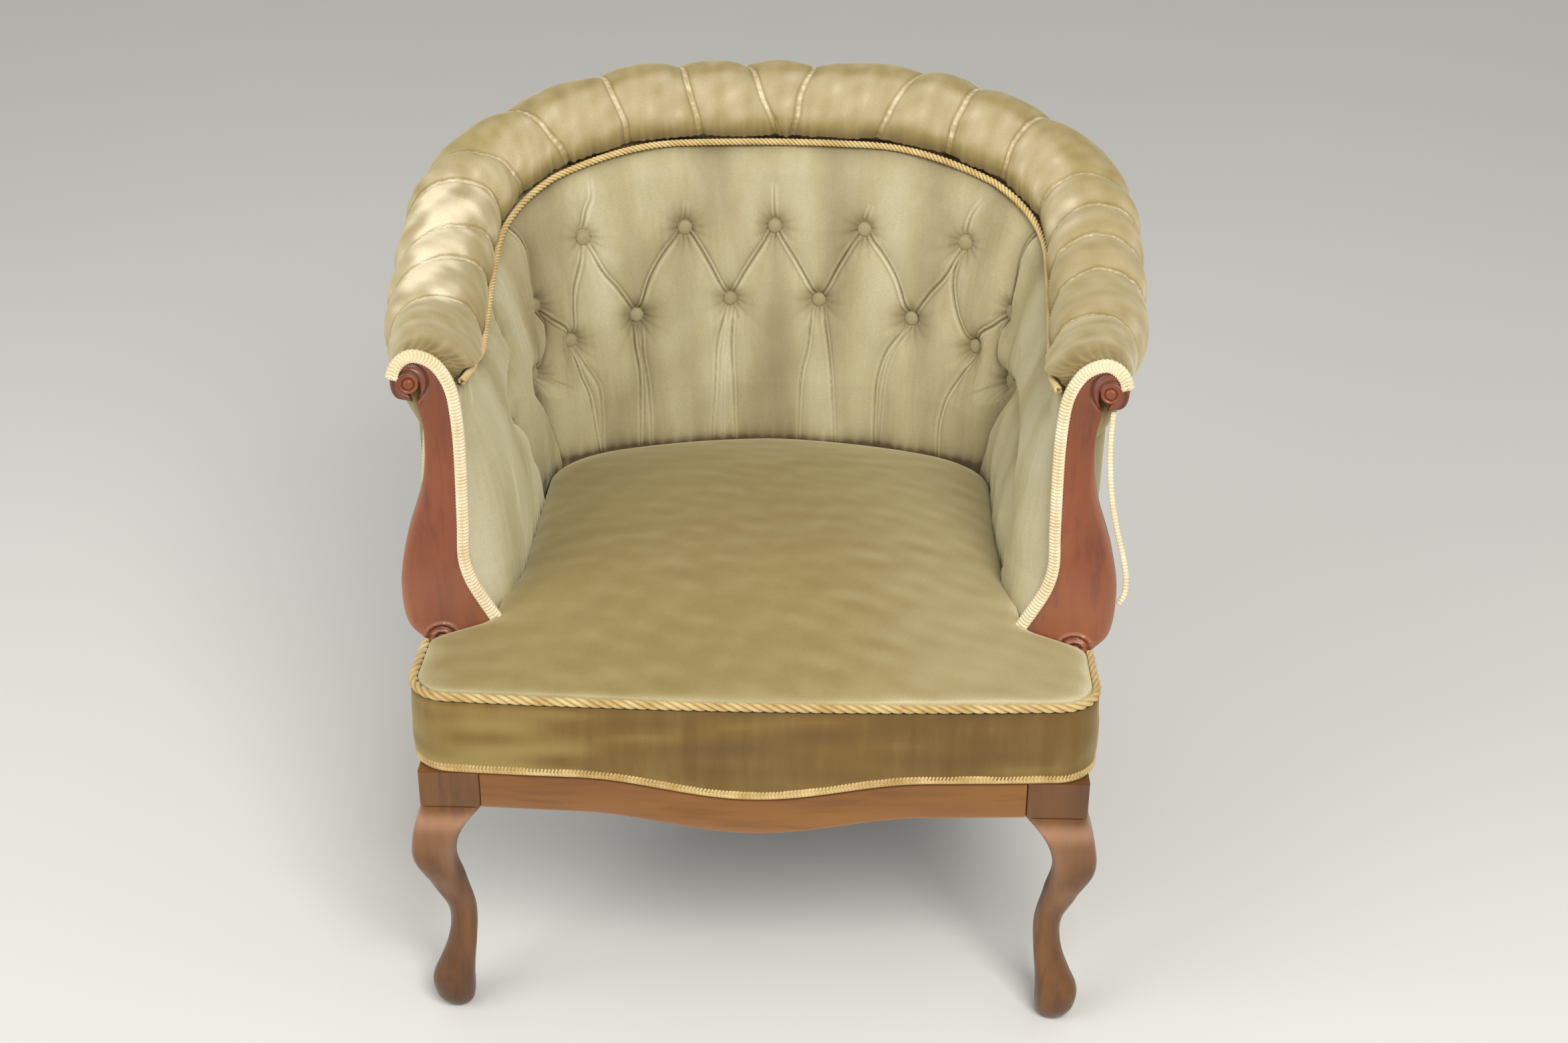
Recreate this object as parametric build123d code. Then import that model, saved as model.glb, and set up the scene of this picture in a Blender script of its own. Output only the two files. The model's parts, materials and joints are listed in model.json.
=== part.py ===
from build123d import *
import os
from math import atan, atan2, cos, hypot, pi, radians, sin, sqrt, tan

# A low Edwardian tub chair: a horseshoe of deep-buttoned upholstery on a wooden seat frame.
# Millimetres. X runs to the sitter's left, Y to the back and Z up; the floor is Z = 0.
# The origin is on the floor, under the middle of the chair's bounding box.

seat_half_width = 280.0       # half the width of the padding at the seat: the other widths follow it
front_reach = 341.0           # the border's furthest point, ahead of the origin

# ---- seat frame ----
rail_bottom = 232.0           # underside of the seat rails
rail_height = 68.0
rail_thick = 28.0
sill_half_width = seat_half_width + 11.0    # outer faces of the side rails
sill_rear = 250.0             # outer face of the back rail, on the centre line
sill_back_radius = 478.0
sill_corner_radius = 135.0
corner_block_reach = 36.0
corner_block_short = 7.0      # the block stops this far inside the rails, above and below

# ---- front legs: a square block, a knee, an ankle and a pad foot ----
leg_block = 55.0
leg_block_outer = seat_half_width + 16.0    # outer side of the block
leg_block_front = 6.0 - front_reach
leg_block_bottom = 228.0
shoulder_inset = 7.0
shoulder_drop = 17.0
knee_height = 178.0
knee_width = 42.0
knee_out = 22.0               # how far the knee stands out along X and along Y
calf_height = 138.0
calf_width = 33.0
calf_out = 11.5
ankle_height = 98.0
ankle_width = 26.0
ankle_out = 2.0
foot_height = 32.0
foot_width = 39.0
foot_out = 12.5
sole_width = 30.0
leg_sides = 12
leg_ring_pitch = 12.0

# ---- back legs, with their stiles ----
back_leg_at = 318.0           # way along the top rail, from the middle of the back
back_leg_width = 36.0
back_leg_foot = 25.0
back_leg_sweep = 42.0         # how far the foot stands behind the rail
stile_depth = 22.0
stile_spare = 5.0             # length left on the stile before its top is cut to the top rail

# ---- the horseshoe that the padding follows, at the seat and at the top rail ----
seat_level = 360.0
seat_rear = 242.0
seat_back_radius = 478.0
seat_corner_radius = 130.0
seat_arm_front = -209.0
top_half_width = seat_half_width + 42.0
top_rear = 304.0
top_back_radius = 620.0
top_corner_radius = 126.0
top_arm_half_width = seat_half_width + 14.0    # the arms draw in towards their fronts
top_arm_front = -179.0
measured_length = 715.92      # half the top line as drawn: ways along it are for this length
back_height = 694.0           # middle of the roll at the back
arm_height = 562.0            # middle of the roll along the arms
fall_start = 110.0            # the roll falls from the back height between these two ways
fall_end = 610.0

# ---- channelled roll ----
roll_half_width = 45.5
roll_half_height = 41.0
centre_flute = 72.0
flute_widths = (86.0, 87.0, 71.0, 61.0, 50.0, 52.0, 58.0, 81.0)
pleat_scale = 0.9             # the roll's size in a pleat, as a share of its full size
crown_scale = 1.03
end_scale = 0.86              # the roll's size where it meets the arm facing
end_round = 46.0              # length of the rounded end
roll_start = -0.45            # where the roll's outer round starts, below its middle (radians)
roll_sides = 13
crease_angle = 0.62           # where the roll's inner edge lies, below its middle (radians)
hem = 4.0                     # the stuffing comes this far down past the top rail's underside

# ---- top rail inside the roll ----
top_rail_in = 13.0
top_rail_out = 11.5
top_rail_above = 14.0         # its top face, below the middle of the roll
top_rail_below = 38.0         # its underside, below the middle of the roll
post_width = 28.0

# ---- inner back: webbing, hessian and the buttoned pad ----
web_in_low = 18.0             # the webbing's face, inside the padding line, at the tacking rail
web_in_high = 13.0            # and at the top rail
web_thick = 1.5
web_width = 50.0
web_count = 13
web_end_inset = 80.0
hessian_thick = 1.0
tacking_low = 316.0
tacking_high = 346.0
tacking_thick = 20.0
tack_land = 6.0               # the straps' ends lie this far from a rail's edge
pad_bottom = 338.0
pad_low_depth = 50.0          # the pad's face inside the padding line, at the seat
pad_crown_depth = 59.0        # the fullest part of a channel
button_depth = 36.0
diagonal_depth = 45.0
pad_top_depth = 36.0
front_low_depth = 38.0        # the pad's face where it meets the arm facing
front_mid_depth = 25.0
front_top_depth = 27.0
front_ease = 90.0             # the pad thins over this much of the arm
# way along the top rail and height of each button on the left half
upper_buttons = ((0.0, 577.0), (108.0, 577.0), (230.0, 573.0), (318.0, 514.0))
lower_buttons = ((56.0, 501.0), (176.0, 489.0), (266.0, 470.0), (345.0, 449.0))
arm_pad_rise = 22.0
button_radius = 9.0
button_dome = 4.5
button_sides = 8
button_seat = 3.0             # the button's back stands off the bottom of its dip

# ---- carved arm facings: distance outside the seat's half width, and height ----
facing_thick = 16.0
facing_inner = ((-45, 353), (-23, 393), (-14, 428), (-13.5, 470), (-14, 515), (-11, 560))
facing_outer = ((23, 555), (18, 532), (20, 487), (36, 434), (43, 392), (38, 354))
facing_foot_out = 23.0        # the outer end of the foot, which rests on the border's top
facing_foot_drop = 22.0       # the foot's inner end below the start of the inner edge
facing_foot_bow = 7.0
volute_out = 29.0
volute_z = 573.0
volute_radius = 16.0
volute_boss = 9.0
boss_relief = 1.5
collar_wide = 16.0            # the wood outside the volute's circle, inside, above and beyond it
collar_top = 7.0
collar_side = 3.0
tongue_width = 22.0           # the tongue under the facing stands on the side rail

# ---- seat ----
spring_radius = 40.0
spring_waist = 29.0
spring_wire = 4.0
spring_turns = 3
spring_steps = 10
spring_pitch_x = 125.0
spring_pitch_y = 130.0
spring_centre_y = -66.0
spring_top = 320.0
cushion_bottom = 322.0
cushion_side = 349.0
cushion_crown = 391.0
cushion_peak_y = -90.0
cushion_shoulder = 42.0
cushion_front_edge = 342.0
seat_join = 5.5               # the seat stands this far off the foot of the inner back

# ---- the seat's front: a bowed line with round corners ----
front_half_width = seat_half_width + 22.0
front_bow_radius = 4360.0
front_corner_radius = 38.0
front_side_end = 226.0        # the border ends this far ahead of the origin, at the sides
rope_side_end = 237.0
border_thick = 6.5
border_top = 336.0
border_bottom = 264.0         # the border meets the show-wood here, at the sides
apron_proud = 1.5             # the show-wood stands this far proud of the border
apron_bottom = 229.0
apron_drop = 18.0             # both edges of the apron fall by this much in the middle
apron_flat = seat_half_width - 124.0        # and are level beyond this, on each side
edge_roll_depth = 32.0

# ---- trimmings ----
rope_radius = 4.4
rope_sides = 6
rope_proud = 2.5              # how far the seat's rope stands past the border
gimp_width = 9.0
gimp_thick = 1.6
facing_gimp_width = 7.0
outer_gimp_start = 0.26       # the braid starts at this share of the cover's height
loose_from = 0.49             # and has come away on the left above this share
cover_thick = 2.0
cover_hem = 2.0               # the cover stops this far above the rails' underside
cloth_thick = 1.0
cloth_inset = 6.0

gap = 0.3                     # clearance between neighbours
slack = 1.0                   # clearance between a taut sheet and the curved rail behind it
pitch = 26.0                  # furthest distance between two sections of a curved piece

rail_top = rail_bottom + rail_height
os.makedirs("parts", exist_ok=True)


# ---- plan lines ----
class Horseshoe:
    """A plan line: a shallow arc across, two corner arcs, and two arms that may draw in."""

    def __init__(self, half_width, crown, crown_radius, corner_radius, end_half_width, end):
        self.half_width = half_width
        self.crown_radius = crown_radius
        self.corner_radius = corner_radius
        self.corner_x = half_width - corner_radius
        self.crown_y = crown - crown_radius
        rise = sqrt((crown_radius - corner_radius) ** 2 - self.corner_x ** 2)
        self.corner_y = self.crown_y + rise
        self.turn = atan2(self.corner_x, rise)
        self.draw_in = half_width - end_half_width
        self.arm = self.corner_y - end
        self.crown_length = crown_radius * self.turn
        self.corner_length = corner_radius * (pi / 2 - self.turn)
        self.length = self.crown_length + self.corner_length + self.arm

    def part_of(self, way):
        """Which of the three parts a way from the middle falls in, and its share of it."""
        if way <= self.crown_length:
            return 0, way / self.crown_length
        if way <= self.crown_length + self.corner_length:
            return 1, (way - self.crown_length) / self.corner_length
        return 2, (way - self.crown_length - self.corner_length) / self.arm

    def at(self, part, share):
        """The point and the outward normal at a share of one of the three parts."""
        if part == 0:
            angle = self.turn * share
            x = self.crown_radius * sin(angle)
            y = self.crown_y + self.crown_radius * cos(angle)
        elif part == 1:
            angle = self.turn + (pi / 2 - self.turn) * share
            x = self.corner_x + self.corner_radius * sin(angle)
            y = self.corner_y + self.corner_radius * cos(angle)
        else:
            angle = pi / 2 + atan(2 * self.draw_in * share / self.arm)
            x = self.half_width - self.draw_in * share ** 2
            y = self.corner_y - self.arm * share
        return (x, y), (sin(angle), cos(angle))

    def half_width_at(self, y, inside):
        """Half the width at y of the same line drawn in by a distance."""
        crown = self.crown_radius - inside
        corner = self.corner_radius - inside
        if y <= self.corner_y:
            return self.half_width - inside
        if y <= self.corner_y + corner * cos(self.turn):
            return self.corner_x + sqrt(corner ** 2 - (y - self.corner_y) ** 2)
        return sqrt(max(crown ** 2 - (y - self.crown_y) ** 2, 0.0))

    def ways(self, start, end, step=pitch, corner_step=pitch):
        """Ways from start to end, with one at each joint between the line's parts."""
        joints = [self.crown_length, self.crown_length + self.corner_length]
        joints = [-j for j in reversed(joints)] + joints
        stops = [start] + [j for j in joints if start < j < end] + [end]
        ways = [start]
        for a, b in zip(stops, stops[1:]):
            in_corner = joints[2] <= (abs(a) + abs(b)) / 2 <= joints[3]
            ways += spread(a, b, corner_step if in_corner else step)[1:]
        return ways


def spread(start, end, step):
    """Evenly spaced values from start to end, about a step apart."""
    count = max(1, round(abs(end - start) / step))
    return [start + (end - start) * i / count for i in range(count + 1)]


def blend(a, b, share):
    return a + (b - a) * share


seat_line = Horseshoe(
    seat_half_width, seat_rear, seat_back_radius, seat_corner_radius, seat_half_width, seat_arm_front
)
top_line = Horseshoe(
    top_half_width, top_rear, top_back_radius, top_corner_radius, top_arm_half_width, top_arm_front
)
arm_end = top_line.length
stretch = arm_end / measured_length
back_leg_way = back_leg_at * stretch
facing_lean = (top_arm_front - seat_arm_front) / (arm_height - seat_level)
sill_arm_front = seat_arm_front - (seat_level - rail_top) * facing_lean
sill_line = Horseshoe(
    sill_half_width, sill_rear, sill_back_radius, sill_corner_radius, sill_half_width, sill_arm_front
)
front_line = Horseshoe(
    front_half_width, front_reach, front_bow_radius, front_corner_radius, front_half_width,
    front_side_end,
)


def roll_height(way):
    """Height of the roll's middle: level at the back, then a smooth fall to the arms."""
    share = (abs(way) / stretch - fall_start) / (fall_end - fall_start)
    share = min(max(share, 0.0), 1.0)
    return back_height - (back_height - arm_height) * share * share * (3 - 2 * share)


class Station:
    """A standing plane across the horseshoe, at a way along the top rail from the back's middle."""

    def __init__(self, way):
        self.way = way
        self.side = -1 if way < 0 else 1
        part, share = top_line.part_of(abs(way))
        self.arm_share = share if part == 2 else 0.0
        self.top, self.normal = top_line.at(part, share)
        self.seat = seat_line.at(part, share)[0]
        self.sill = sill_line.at(part, share)[0]
        self.height = roll_height(way)

    def spot(self, out, z):
        """A point of the padding: out from the padding line, at a height."""
        rise = (z - seat_level) / (self.height - seat_level)
        x = blend(self.seat[0], self.top[0], rise) + self.normal[0] * out
        y = blend(self.seat[1], self.top[1], rise) + self.normal[1] * out
        return Vector(self.side * x, y, z)

    def roll_spot(self, out, up):
        """A point about the middle of the roll."""
        return self.spot(out, self.height + up)

    def sill_spot(self, out, z):
        """A point by the seat rails, out from their outer faces."""
        slide = self.arm_share * facing_lean * (z - rail_top)
        x = self.sill[0] + self.normal[0] * out
        y = self.sill[1] + self.normal[1] * out + slide
        return Vector(self.side * x, y, z)


class FrontStation:
    """A standing plane across the seat's front line, at a way from the middle of the front."""

    def __init__(self, way):
        self.side = -1 if way < 0 else 1
        point, self.normal = front_line.at(*front_line.part_of(abs(way)))
        self.x, self.y = point

    def spot(self, out, z):
        x = self.x + self.normal[0] * out
        return Vector(self.side * x, -self.y - self.normal[1] * out, z)


def loft_of(wires):
    return Solid.make_loft(wires, ruled=True)


def ribbon(stations, section):
    """A solid through straight-sided sections; section gives the corners at a station."""
    return loft_of([Wire.make_polygon(section(s), close=True) for s in stations])


def front_ways(short=0.0):
    """Ways of the sections of every piece that follows the seat's front."""
    reach = front_line.length - short
    return front_line.ways(-reach, reach, 30, 10)


def back_stations(start, end):
    return [Station(w) for w in top_line.ways(start, end)]


def mirrored(shape):
    return mirror(shape, about=Plane.YZ)


def save(name, *shapes):
    """Writes the solids of one node and prints their volume."""
    solids = [s for shape in shapes for s in shape.solids()]
    whole = solids[0] if len(solids) == 1 else Compound(children=solids)
    export_step(whole, f"parts/{name}.step")
    volume = sum(s.volume for s in solids)
    print(f"{name:20s} solids {len(solids):2d} volume {volume:12.0f} mm3")


def save_pair(name, shape):
    save(f"{name}_left", shape)
    save(f"{name}_right", mirrored(shape))


# ---- seat rails ----
leg_back = leg_block_front + leg_block
leg_inner = leg_block_outer - leg_block
border_inside = border_thick + gap
leg_reach = back_leg_width / 2 + gap


def rail_section(station):
    return [
        station.sill_spot(0, rail_bottom),
        station.sill_spot(0, rail_top),
        station.sill_spot(-rail_thick, rail_top),
        station.sill_spot(-rail_thick, rail_bottom),
    ]


def side_rail():
    """The left side rail: curved from the back leg, then straight to the front leg's block."""
    wires = []
    for station in back_stations(back_leg_way + leg_reach, arm_end):
        wires.append(Wire.make_polygon(rail_section(station), close=True))
    outer = sill_half_width
    inner = sill_half_width - rail_thick
    y = leg_back + gap
    corners = [(outer, rail_bottom), (outer, rail_top), (inner, rail_top), (inner, rail_bottom)]
    wires.append(Wire.make_polygon([Vector(x, y, z) for x, z in corners], close=True))
    return loft_of(wires)


def back_rail():
    reach = back_leg_way - leg_reach
    return ribbon(back_stations(-reach, reach), rail_section)


def bowed_bar(outset, thick, half_width, low, high):
    """A bar that follows the bowed front; low and high give its edges' heights by X."""

    def section(station):
        bottom = low(station.x)
        top = high(station.x)
        return [
            station.spot(outset, bottom),
            station.spot(outset, top),
            station.spot(outset - thick, top),
            station.spot(outset - thick, bottom),
        ]

    return ribbon([FrontStation(w) for w in spread(-half_width, half_width, 20)], section)


def front_rail():
    return bowed_bar(
        -border_inside, rail_thick, leg_inner - gap, lambda x: rail_bottom, lambda x: rail_top
    )


def edge_roll():
    """The firm stuffed edge on the front rail, behind the border."""
    low = rail_top + gap
    high = spring_top - gap
    return bowed_bar(-border_inside, edge_roll_depth, leg_inner, lambda x: low, lambda x: high)


def corner_block():
    """A glue block in the front corner, between the front rail, the leg and the side rail."""
    front = -front_reach + border_inside + rail_thick + gap
    front += leg_inner ** 2 / (2 * front_bow_radius)
    inner = sill_half_width - rail_thick - gap
    corners = [
        (leg_inner - gap - corner_block_reach, front),
        (leg_inner - gap, front),
        (leg_inner - gap, leg_back + gap),
        (inner, leg_back + gap),
        (inner, leg_back + gap + corner_block_reach),
    ]
    base = Plane.XY.offset(rail_bottom + corner_block_short)
    height = rail_height - 2 * corner_block_short
    return extrude(base * make_face(Polyline(*corners, close=True)), height)


# ---- front legs ----
def smooth_through(rows, at):
    """Values at a height, on smooth curves through rows that start with their heights."""
    heights = [row[0] for row in rows]
    k = min(max(sum(h <= at for h in heights) - 1, 0), len(rows) - 2)
    step = heights[k + 1] - heights[k]
    t = (at - heights[k]) / step
    first, last = max(k - 1, 0), min(k + 2, len(rows) - 1)
    before, after = heights[first], heights[last]
    values = []
    for a, b, c, d in zip(rows[first][1:], rows[k][1:], rows[k + 1][1:], rows[last][1:]):
        start = (c - a) / (heights[k + 1] - before) * step
        end = (d - b) / (after - heights[k]) * step
        curve = (2 * t ** 3 - 3 * t * t + 1) * b + (t ** 3 - 2 * t * t + t) * start
        values.append(curve + (3 * t * t - 2 * t ** 3) * c + (t ** 3 - t * t) * end)
    return values


def shank_ring(x, y, z, width, squareness):
    """A leg's section: a circle where squareness is 2, nearly a square where it is high."""
    corners = []
    for i in range(leg_sides):
        angle = 2 * pi * (i + 0.5) / leg_sides
        reach = [abs(f) ** (2 / squareness) * (1 if f > 0 else -1) for f in (cos(angle), sin(angle))]
        corners.append(Vector(x + reach[0] * width / 2, y + reach[1] * width / 2, z))
    return Wire.make_polygon(corners, close=True)


def front_leg():
    """The left front leg: a block, a post behind the border, and an S curve to a padded foot."""
    middle_x = leg_block_outer - leg_block / 2
    middle_y = leg_block_front + leg_block / 2
    # height, width, squareness, distance out along X and along Y
    rows = [
        (0, sole_width, 2.2, foot_out),
        (foot_height * 0.3, foot_width - 2, 2.2, foot_out + 1),
        (foot_height, foot_width, 2.2, foot_out),
        (blend(foot_height, ankle_height, 0.5), blend(foot_width, ankle_width, 0.6), 2.2, foot_out / 2),
        (ankle_height, ankle_width, 2.2, ankle_out),
        (calf_height, calf_width, 2.6, calf_out),
        (knee_height, knee_width, 3.4, knee_out),
        (leg_block_bottom - shoulder_drop, leg_block - shoulder_inset - 3, 5.0, knee_out / 2),
        (leg_block_bottom, leg_block - shoulder_inset, 9.0, 2),
    ]
    wires = []
    for z in spread(0, leg_block_bottom, leg_ring_pitch):
        width, squareness, out = smooth_through(rows, z)
        wires.append(shank_ring(middle_x + out, middle_y - out, z, width, squareness))
    shank = loft_of(wires)
    block_height = border_bottom - leg_block_bottom
    block = Box(leg_block, leg_block, block_height, align=(Align.CENTER, Align.CENTER, Align.MIN))
    block = Pos(middle_x, middle_y, leg_block_bottom) * block
    corners = [Vector(leg_inner, leg_back, border_bottom)]
    for way in [leg_inner] + [w for w in front_ways() if w > leg_inner]:
        spot = FrontStation(way).spot(-border_inside, border_bottom)
        if spot.Y < leg_back:
            corners.append(spot)
    corners.append(Vector(corners[-1].X, leg_back, border_bottom))
    post = extrude(make_face(Polyline(*corners, close=True)), rail_top - border_bottom)
    return block.fuse(shank, post)


# ---- back legs ----
def back_leg():
    """The left back leg: a swept foot, a block between the rails and a stile up to the top rail."""

    def section(width, depth, spot):
        near = Station(back_leg_way - width / 2)
        far = Station(back_leg_way + width / 2)
        corners = [spot(near, 0), spot(far, 0), spot(far, -depth), spot(near, -depth)]
        return Wire.make_polygon(corners, close=True)

    wires = []
    for share in (0.0, 0.15, 0.3, 0.45, 0.6, 0.8, 1.0):
        z = rail_bottom * share
        width = blend(back_leg_foot, back_leg_width, share)
        out = back_leg_sweep * (1 - share) ** 1.6

        def foot_spot(station, inward):
            return station.sill_spot(out + inward, z)

        wires.append(section(width, min(width, rail_thick), foot_spot))
    wires.append(
        section(back_leg_width, rail_thick, lambda station, inward: station.sill_spot(inward, rail_top))
    )
    head_out = (top_rail_out - top_rail_in + stile_depth) / 2
    near = Station(back_leg_way - back_leg_width / 2).roll_spot(0, -top_rail_below - 2 * gap)
    far = Station(back_leg_way + back_leg_width / 2).roll_spot(0, -top_rail_below - 2 * gap)
    wires.append(
        section(
            back_leg_width,
            stile_depth,
            lambda station, inward: station.spot(head_out + inward, near.Z + stile_spare),
        )
    )
    normal = Station(back_leg_way).normal
    seat_up = Vector(normal[0], normal[1], 0).cross(far - near)
    if seat_up.Z < 0:
        seat_up = -seat_up
    underside = Plane((near + far) / 2, z_dir=seat_up)
    return loft_of(wires).split(underside, keep=Keep.BOTTOM)


# ---- arm posts, tacking rails and top rails ----
def arm_post():
    """The left post behind the arm facing, from the side rail up to the arm rail."""

    def section(station):
        inner = 1 - top_rail_in
        outer = top_rail_out - 1
        return [
            station.spot(outer, rail_top + gap),
            station.roll_spot(outer, -top_rail_below - gap),
            station.roll_spot(inner, -top_rail_below - gap),
            station.spot(inner, rail_top + gap),
        ]

    return ribbon([Station(arm_end - gap - post_width), Station(arm_end - gap)], section)


def tacking_rail(start, end):
    def section(station):
        return [
            station.spot(-web_in_low, tacking_low),
            station.spot(-web_in_low + tacking_thick, tacking_low),
            station.spot(-web_in_low + tacking_thick, tacking_high),
            station.spot(-web_in_low, tacking_high),
        ]

    return ribbon(back_stations(start, end), section)


def top_rail(start, end):
    def section(station):
        return [
            station.roll_spot(-top_rail_in, -top_rail_below),
            station.roll_spot(top_rail_out, -top_rail_below),
            station.roll_spot(top_rail_out, -top_rail_above),
            station.roll_spot(-top_rail_in, -top_rail_above),
        ]

    return ribbon([Station(w) for w in roll_ways(start, end)], section)


# ---- the roll ----
flute_edges = [centre_flute / 2 * stretch]
for flute_width in flute_widths:
    flute_edges.append(flute_edges[-1] + flute_width * stretch)
cap_length = arm_end - gap - flute_edges[-1]


def roll_swell(way):
    """The roll's size at a way: full in each flute, drawn in at each pleat, rounded at its ends."""
    along = abs(way)
    edges = [-flute_edges[0]] + flute_edges
    for a, b in zip(edges, edges[1:]):
        if along <= b:
            share = (along - a) / (b - a)
            return pleat_scale + (crown_scale - pleat_scale) * sin(pi * share) ** 0.7
    share = (along - flute_edges[-1]) / cap_length
    swell = pleat_scale + (crown_scale - pleat_scale) * sin(pi * min(share, 0.5)) ** 0.7
    beyond = max(0.0, 1 - cap_length * (1 - share) / end_round)
    return swell * (1 - (1 - end_scale) * (1 - sqrt(max(0.0, 1 - beyond * beyond))))


def roll_half_ways():
    """Ways of the roll's sections on the left half: four to a flute, more at the rounded end."""
    ways = [0.0, flute_edges[0] / 2]
    for a, b in zip(flute_edges, flute_edges[1:]):
        ways += [blend(a, b, share) for share in (0.0, 0.2, 0.5, 0.8)]
    ways += [blend(flute_edges[-1], arm_end - gap, share) for share in (0, 0.12, 0.3, 0.55, 0.75)]
    ways += [arm_end - gap - end_round * rest for rest in (0.3, 0.1, 0.0)]
    return sorted(ways + [back_leg_way])


def roll_ways(start, end):
    """The roll's own ways between two ends, so that what it holds follows its bends."""
    half = roll_half_ways()
    every = [-w for w in reversed(half) if w > 0] + half
    return [start] + [w for w in every if start + 1 < w < end - 1] + [end]


def roll_section(station):
    """The stuffing's section, in short straight sides round its top and square about the rail."""
    swell = roll_swell(station.way)
    crease_swell = (1 + swell) / 2
    rail_in = -top_rail_in - gap
    rail_out = top_rail_out + gap
    rail_up = -top_rail_above + gap
    low = -top_rail_below + hem
    corners = [
        (rail_in, low + hem), (rail_in, rail_up), (rail_out, rail_up), (rail_out, low),
        (rail_out + 2 * hem, low),
    ]
    for i in range(roll_sides):
        turn = blend(roll_start, pi, i / (roll_sides - 1))
        corners.append((roll_half_width * swell * cos(turn), roll_half_height * swell * sin(turn)))
    for turn, size in ((pi + crease_angle / 2, (swell + crease_swell) / 2), (pi + crease_angle, crease_swell)):
        corners.append((roll_half_width * size * cos(turn), roll_half_height * size * sin(turn)))
    return [station.roll_spot(out, up) for out, up in corners]


def channelled_roll():
    return ribbon([Station(w) for w in roll_ways(-arm_end + gap, arm_end - gap)], roll_section)


rope_out = -roll_half_width * cos(crease_angle) - 2.0
rope_up = -roll_half_height * sin(crease_angle) - rope_radius - 1.2
pad_top_below = -rope_up + rope_radius + gap


def ring(spot, radius):
    """Corners of a rope's section; spot gives a point from two offsets."""
    turns = [2 * pi * i / rope_sides for i in range(rope_sides)]
    return [spot(radius * cos(t), radius * sin(t)) for t in turns]


def roll_rope():
    """The rope in the crease under the roll's inner edge."""

    def section(station):
        return ring(lambda a, b: station.roll_spot(rope_out + a, rope_up + b), rope_radius)

    return ribbon([Station(w) for w in roll_ways(-arm_end + gap, arm_end - gap)], section)


# ---- inner back ----
def web_face(station, z):
    """How far inside the padding line the uprights' faces lie, at a height."""
    share = (z - tacking_low) / (station.height - top_rail_below - tacking_low)
    return -blend(web_in_low, web_in_high, share)


def thin_section(station, inside, thick, low, high):
    """A thin sheet's section, parallel to the webbing's face."""
    low_out = web_face(station, low) - inside
    high_out = web_face(station, high) - inside
    return [
        station.spot(low_out, low),
        station.spot(high_out, high),
        station.spot(high_out - thick, high),
        station.spot(low_out - thick, low),
    ]


def back_webbing():
    """Upright straps from the tacking rails to the top rail."""

    def section(station):
        low = tacking_low + tack_land
        high = station.height - top_rail_below + 2 * hem - slack
        return thin_section(station, slack, web_thick, low, high)

    reach = arm_end - web_end_inset
    straps = []
    for way in spread(-reach, reach, 2 * reach / (web_count - 1)):
        edges = (way - web_width / 2, way, way + web_width / 2)
        straps.append(ribbon([Station(w) for w in edges], section))
    return straps


hessian_inside = slack + web_thick + slack
pad_inside = hessian_inside + hessian_thick + gap


def back_hessian():
    """The hessian over the straps, all round the horseshoe."""

    def section(station):
        high = station.height - pad_top_below
        return thin_section(station, hessian_inside, hessian_thick, tacking_low + tack_land, high)

    return ribbon([Station(row[0]) for row in pad_rows()], section)


def button_row():
    """The buttons on the left half in order: way, height and row."""
    row = [(way * stretch, z, "upper") for way, z in upper_buttons]
    row += [(way * stretch, z, "lower") for way, z in lower_buttons]
    return sorted(row)


def pad_rows():
    """Way, joint height, pull and row of each of the pad's sections, from end to end."""
    row = button_row()
    rows = []
    for (way, z, kind), (next_way, next_z, _) in zip(row, row[1:]):
        rows.append((way, z, 1.0, kind))
        rows.append(((way + next_way) / 2, (z + next_z) / 2, 0.5, kind))
    start, level, kind = row[-1]
    rows.append((start, level, 1.0, kind))
    end = arm_end - gap
    ways = spread(start, end - front_ease, 34)[1:]
    ways += [end - front_ease * rest for rest in (0.7, 0.42, 0.2, 0.06, 0.0)]
    for way in ways:
        rows.append((way, level + arm_pad_rise * (way - start) / (end - start), 0.0, "plain"))
    return [(-way, z, pull, kind) for way, z, pull, kind in reversed(rows) if way > 0] + rows


def pad_section(way, joint_z, pull, kind):
    """One section of the pad: two bowed faces that meet at a button, a pleat or a waist."""
    station = Station(way)
    ease = max(0.0, 1 - (arm_end - gap - abs(way)) / front_ease) ** 2
    top_z = station.height - pad_top_below
    joint_depth = {1.0: button_depth, 0.5: diagonal_depth, 0.0: pad_crown_depth - 4}[pull]
    low_mid = pad_crown_depth - 3
    top_mid = pad_crown_depth - 11
    if kind == "lower" and pull == 1.0:
        low_mid = button_depth + 8
    if kind == "upper" and pull == 1.0:
        top_mid = button_depth + 3
    low_depth = blend(pad_low_depth, front_low_depth, ease)
    low_mid = blend(low_mid, front_mid_depth + 8, ease)
    joint_depth = blend(joint_depth, front_mid_depth, ease)
    top_mid = blend(top_mid, front_top_depth + 1, ease)
    top_depth = blend(pad_top_depth, front_top_depth, ease)
    front_low = station.spot(-low_depth, pad_bottom)
    joint = station.spot(-joint_depth, joint_z)
    front_top = station.spot(-top_depth, top_z)
    low_bow = station.spot(-low_mid, blend(pad_bottom, joint_z, 0.55))
    top_bow = station.spot(-top_mid, blend(joint_z, top_z, 0.5))
    top_back = station.spot(web_face(station, top_z) - pad_inside, top_z)
    low_back = station.spot(web_face(station, pad_bottom) - pad_inside, pad_bottom)
    return Wire([
        Edge.make_three_point_arc(front_low, low_bow, joint),
        Edge.make_three_point_arc(joint, top_bow, front_top),
        Edge.make_line(front_top, top_back),
        Edge.make_line(top_back, low_back),
        Edge.make_line(low_back, front_low),
    ])


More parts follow.
